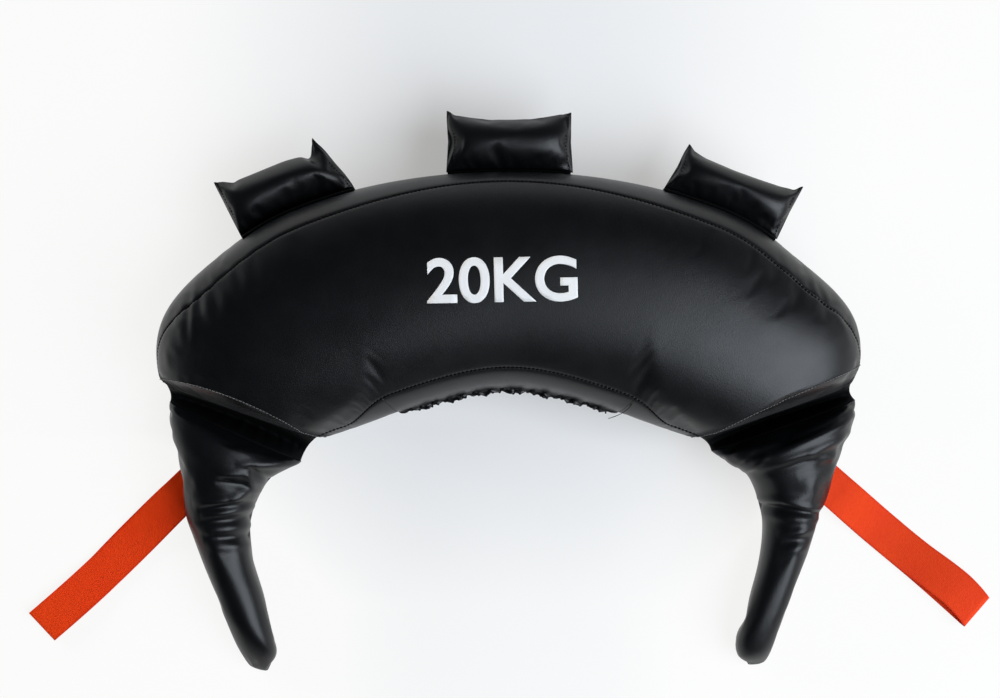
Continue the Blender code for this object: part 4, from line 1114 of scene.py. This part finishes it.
def rim_fall(turn_degrees, along):
    """How far the rim falls away from a grip's straight foot line at a distance along it."""
    station = turn_degrees / RIM_END_DEG
    middle = rim_at(station)
    _, tangent, normal = grip_frame(turn_degrees)
    reach = (rim_at(station + 0.01) - rim_at(station - 0.01)).length / 0.02
    for _ in range(3):
        station += (along - (rim_at(station) - middle).dot(tangent)) / reach
    return (rim_at(station) - middle).dot(normal)


def pillow_at(shape, turn_degrees, share, turn):
    """A point of a grip: share runs along it, turn goes round from its foot over the top and back."""
    edge, first_end, last_end = shape
    out = (1.0 - math.cos(turn)) / 2.0
    along = curve_through(first_end, out) * (1.0 - share) + curve_through(last_end, out) * share
    foot = GRIP_FOOT + rim_fall(turn_degrees, along)
    radial = foot + (curve_through(edge, share) - foot) * out
    full = max(0.0, 1.0 - abs(2.0 * share - 1.0) ** 5) ** 0.7
    if out < GRIP_CREST:
        rise = math.sin(math.pi / 2.0 * out / GRIP_CREST) ** 0.8
    else:
        rise = math.cos(math.pi / 2.0 * (out - GRIP_CREST) / (1.0 - GRIP_CREST)) ** 0.85
    thick = (GRIP_SEAM + (GRIP_LOFT - GRIP_SEAM) * full) * rise
    return Vector((along, radial, math.copysign(thick, math.sin(turn))))


for (prefix, shape), turn_degrees in zip(GRIP_SHAPES.items(), GRIP_TURNS_DEG):
    hinge, tangent, normal = grip_frame(turn_degrees)
    grip = prefix + "_grip"

    def placed(share, turn):
        spot = pillow_at(shape, turn_degrees, share, turn)
        return hinge + tangent * spot.x + normal * spot.y + UP * spot.z

    shares = [0.5 - 0.5 * math.cos(math.pi * row / GRIP_ROWS) for row in range(GRIP_ROWS + 1)]
    rows = [[placed(share, 2.0 * math.pi * k / GRIP_RING) for k in range(GRIP_RING)] for share in shares]
    pillow = lofted(prefix + "_pillow", rows, ring=True, caps=True)
    held = list(range(GRIP_RING * 5)) + list(range(GRIP_RING * (GRIP_ROWS - 4), len(pillow.data.vertices)))
    held += [row * GRIP_RING + k for row in range(1, GRIP_ROWS + 1) for k in (-2, -1, 0, 1, 2)]
    settle_cloth(pillow, held, pressure=3.0, swell=0.02, cap=0.005)
    rings = [[pillow.data.vertices[row * GRIP_RING + k].co.copy() for k in range(GRIP_RING)]
             for row in range(9, GRIP_ROWS - 8)]
    smooth_over(pillow)
    sew_on(pillow, leather, grip, "black_leather", grip + "_cover", fill=0.9)
    stuff_with_fibre(grip + "_fibre", rings, GRIP_STUFFING_INSET, 0.6, grip, grip + "_stuffing")
    first, last = STRIP_ENDS_DEG[prefix]
    rows = []
    for column in STRIP_LINES:
        line = []
        for k in range(STRIP_STEPS + 1):
            station = (turn_degrees + first + (last - first) * k / STRIP_STEPS) / RIM_END_DEG
            row = round((station / BODY_END + 1.0) * SKIN_ROWS / 2.0)
            line.append(skin_at(station, column) + skin_normal(row, column) * STRIP_RISE)
        rows.append(line)
    strip = lofted(grip + "_strip", rows)
    if strip.data.polygons[0].normal.dot(normal) < 0.0:
        strip.data.flip_normals()
    give_wall(strip, STRIP_WALL)
    # The strip takes the darker matt copy: painted shade under the grip.
    sew_on(strip, shaded_matt_leather, "crescent", "black_leather", grip + "_base")
    for share, label in ((0.028, "first"), (0.972, "last")):
        path = [(placed(share, 0.35 + (math.pi - 0.55) * k / 14.0), UP) for k in range(15)]
        ends = stitch_row("%s_%s_stitches" % (grip, label), path, **GRIP_STITCH)
        sew_on(ends, black_thread, grip, "black_thread")

# Weight mark: plain white figures and letters for the weight, printed on the upper panel with a
# thick matt ink that lies just proud of the grain.
MARK_HEIGHT = 0.0435
MARK_LEFT = -0.0775
MARK_RIGHT = 0.0655
MARK_BASE_LEFT = 0.0885
MARK_BASE_RIGHT = 0.0912
MARK_SLANT = 0.001
INK_RISE = 0.00035
INK_THICKNESS = 0.00025

ink, shade, spot = new_finish("white_ink")
speckle = cloud(shade, spot, 900.0, 4.0)
wear = cloud(shade, spot, 60.0)
close_finish(ink, between(shade, speckle * 0.4 + wear * 0.6, (0.80, 0.80, 0.79), (0.92, 0.92, 0.91)),
             0.5 + wear * 0.15, speckle, 0.0001, 0.3)

words = bpy.data.curves.new("weight_mark", "FONT")
words.body = "20KG"
words.size = 1.0
words.offset = 0.022
words.space_character = 1.02
mark = set_down("weight_mark", words)
pick_only(mark)
bpy.ops.object.convert(target="MESH")
left, right = (pick(vertex.co.x for vertex in mark.data.vertices) for pick in (min, max))
bottom, top = (pick(vertex.co.y for vertex in mark.data.vertices) for pick in (min, max))
bpy.ops.object.mode_set(mode="EDIT")
bpy.ops.mesh.select_all(action="SELECT")
bpy.ops.mesh.remove_doubles(threshold=0.0005)
bpy.ops.mesh.quads_convert_to_tris()
bpy.ops.mesh.subdivide(number_cuts=3)
bpy.ops.object.mode_set(mode="OBJECT")
cover = BVHTree.FromObject(upper_panel, bpy.context.evaluated_depsgraph_get())
for vertex in mark.data.vertices:
    across = (vertex.co.x - left) / (right - left)
    rise = (vertex.co.y - bottom) / (top - bottom)
    x = MARK_LEFT + (MARK_RIGHT - MARK_LEFT) * across - MARK_SLANT * rise
    y = MARK_BASE_LEFT + (MARK_BASE_RIGHT - MARK_BASE_LEFT) * across + MARK_HEIGHT * rise
    vertex.co = cover.ray_cast(Vector((x, y, 0.3)), -UP)[0] + UP * INK_RISE
mark.data.update()
if sum(face.normal.z for face in mark.data.polygons) < 0.0:
    mark.data.flip_normals()
give_wall(mark, INK_THICKNESS)
sew_on(mark, ink, "crescent", "black_leather")

# Stage: a pale floor that also glows for camera and glossy rays, less near the bag than out to the sides and
# in front, which is painted light and shade on the floor; a large cool soft light from the front on the
# right, a weaker warm one from behind on the left that isn't mirrored in the gloss, and the camera straight
# above.
bpy.ops.object.select_all(action="DESELECT")
bpy.ops.mesh.primitive_plane_add(size=14.0, location=(0.0, 0.0, -0.0006))
floor = bpy.context.active_object
floor.name = "floor"
pale_floor, shade, spot = new_finish("pale_floor")
tree = shade.tree
shader = tree.nodes["Principled BSDF"]
drift = cloud(shade, spot, 1.3, 2.0)
colour = between(shade, drift, (0.80, 0.80, 0.80), (0.86, 0.86, 0.855))
tree.links.new(colour.socket, shader.inputs["Base Color"])
shader.inputs["Roughness"].default_value = 0.8
seen = shade.maths("MAXIMUM", shade.node("LightPath", out="Is Camera Ray"),
                   shade.node("LightPath", out="Is Glossy Ray"))
x, y, _ = spot.axes()
# The glow share is lower near the bag and higher to the sides and in front: painted shade and light on the
# floor, also seen in the leather's gloss.
aside = shade.node("MapRange", {"Value": shade.maths("ABSOLUTE", x), 1: 0.05, 2: 0.40, 3: 0.26, 4: 0.86},
                   interpolation_type="SMOOTHSTEP")
ahead = shade.node("MapRange", {"Value": y, 1: -0.04, 2: -0.22, 3: 0.0, 4: 0.45})
plain = shade.maths("MINIMUM", aside + ahead, 0.88)
painted_floor_glow = shade.node("Emission", {"Color": (1.0, 1.0, 0.99), "Strength": 1.0})
both = shade.node("MixShader", {0: seen * plain, 1: Shade(tree, shader.outputs[0]), 2: painted_floor_glow})
tree.links.new(both.socket, tree.nodes["Material Output"].inputs["Surface"])
floor.data.materials.append(pale_floor)

world = bpy.data.worlds.new("studio")
bpy.context.scene.world = world
world.use_nodes = True
sky = Shade(world.node_tree)
_, y, z = sky.node("TexCoord", out="Generated").axes()
front = sky.node("MapRange", {"Value": y, 1: -0.70, 2: 0.05, 3: 0.05, 4: 1.0})
shown = sky.node("LightPath", out="Is Camera Ray")
rise = sky.node("MapRange", {"Value": z, 1: 0.02, 2: 0.30, 3: 1.0, 4: 0.0}, interpolation_type="SMOOTHSTEP")
backdrop = world.node_tree.nodes["Background"]
backdrop.inputs["Color"].default_value = (0.92, 0.96, 1.0, 1.0)
bright = (rise * 0.55 + 0.015) * front
sky.tree.links.new((bright + (1.0 - bright) * shown).socket, backdrop.inputs["Strength"])


def soft_lamp(name, place, aim, width, height, watts, colour):
    lamp = bpy.data.lights.new(name, "AREA")
    lamp.shape = "RECTANGLE"
    lamp.size = width
    lamp.size_y = height
    lamp.energy = watts
    lamp.color = colour
    obj = set_down(name, lamp)
    obj.location = place
    obj.rotation_euler = (Vector(aim) - Vector(place)).to_track_quat("-Z", "Y").to_euler()
    return obj


soft_lamp("window_right", (1.75, -0.80, 2.10), (0.1, 0.0, 0.0), 2.6, 2.6, 114.0, (0.86, 0.92, 1.0))
window_left = soft_lamp("window_left", (-2.6, 1.7, 0.9), (0.0, 0.1, 0.0), 2.4, 0.8, 80.0, (1.0, 0.98, 0.95))
window_left.visible_glossy = False

camera_data = bpy.data.cameras.new("camera")
camera_data.lens = 62.31
camera_data.sensor_width = 36.0
camera_data.clip_start = 0.01
camera = set_down("camera", camera_data)
camera.location = (-0.00845, 0.0459, 1.8)
bpy.context.scene.camera = camera
bpy.context.scene.view_settings.view_transform = "Standard"
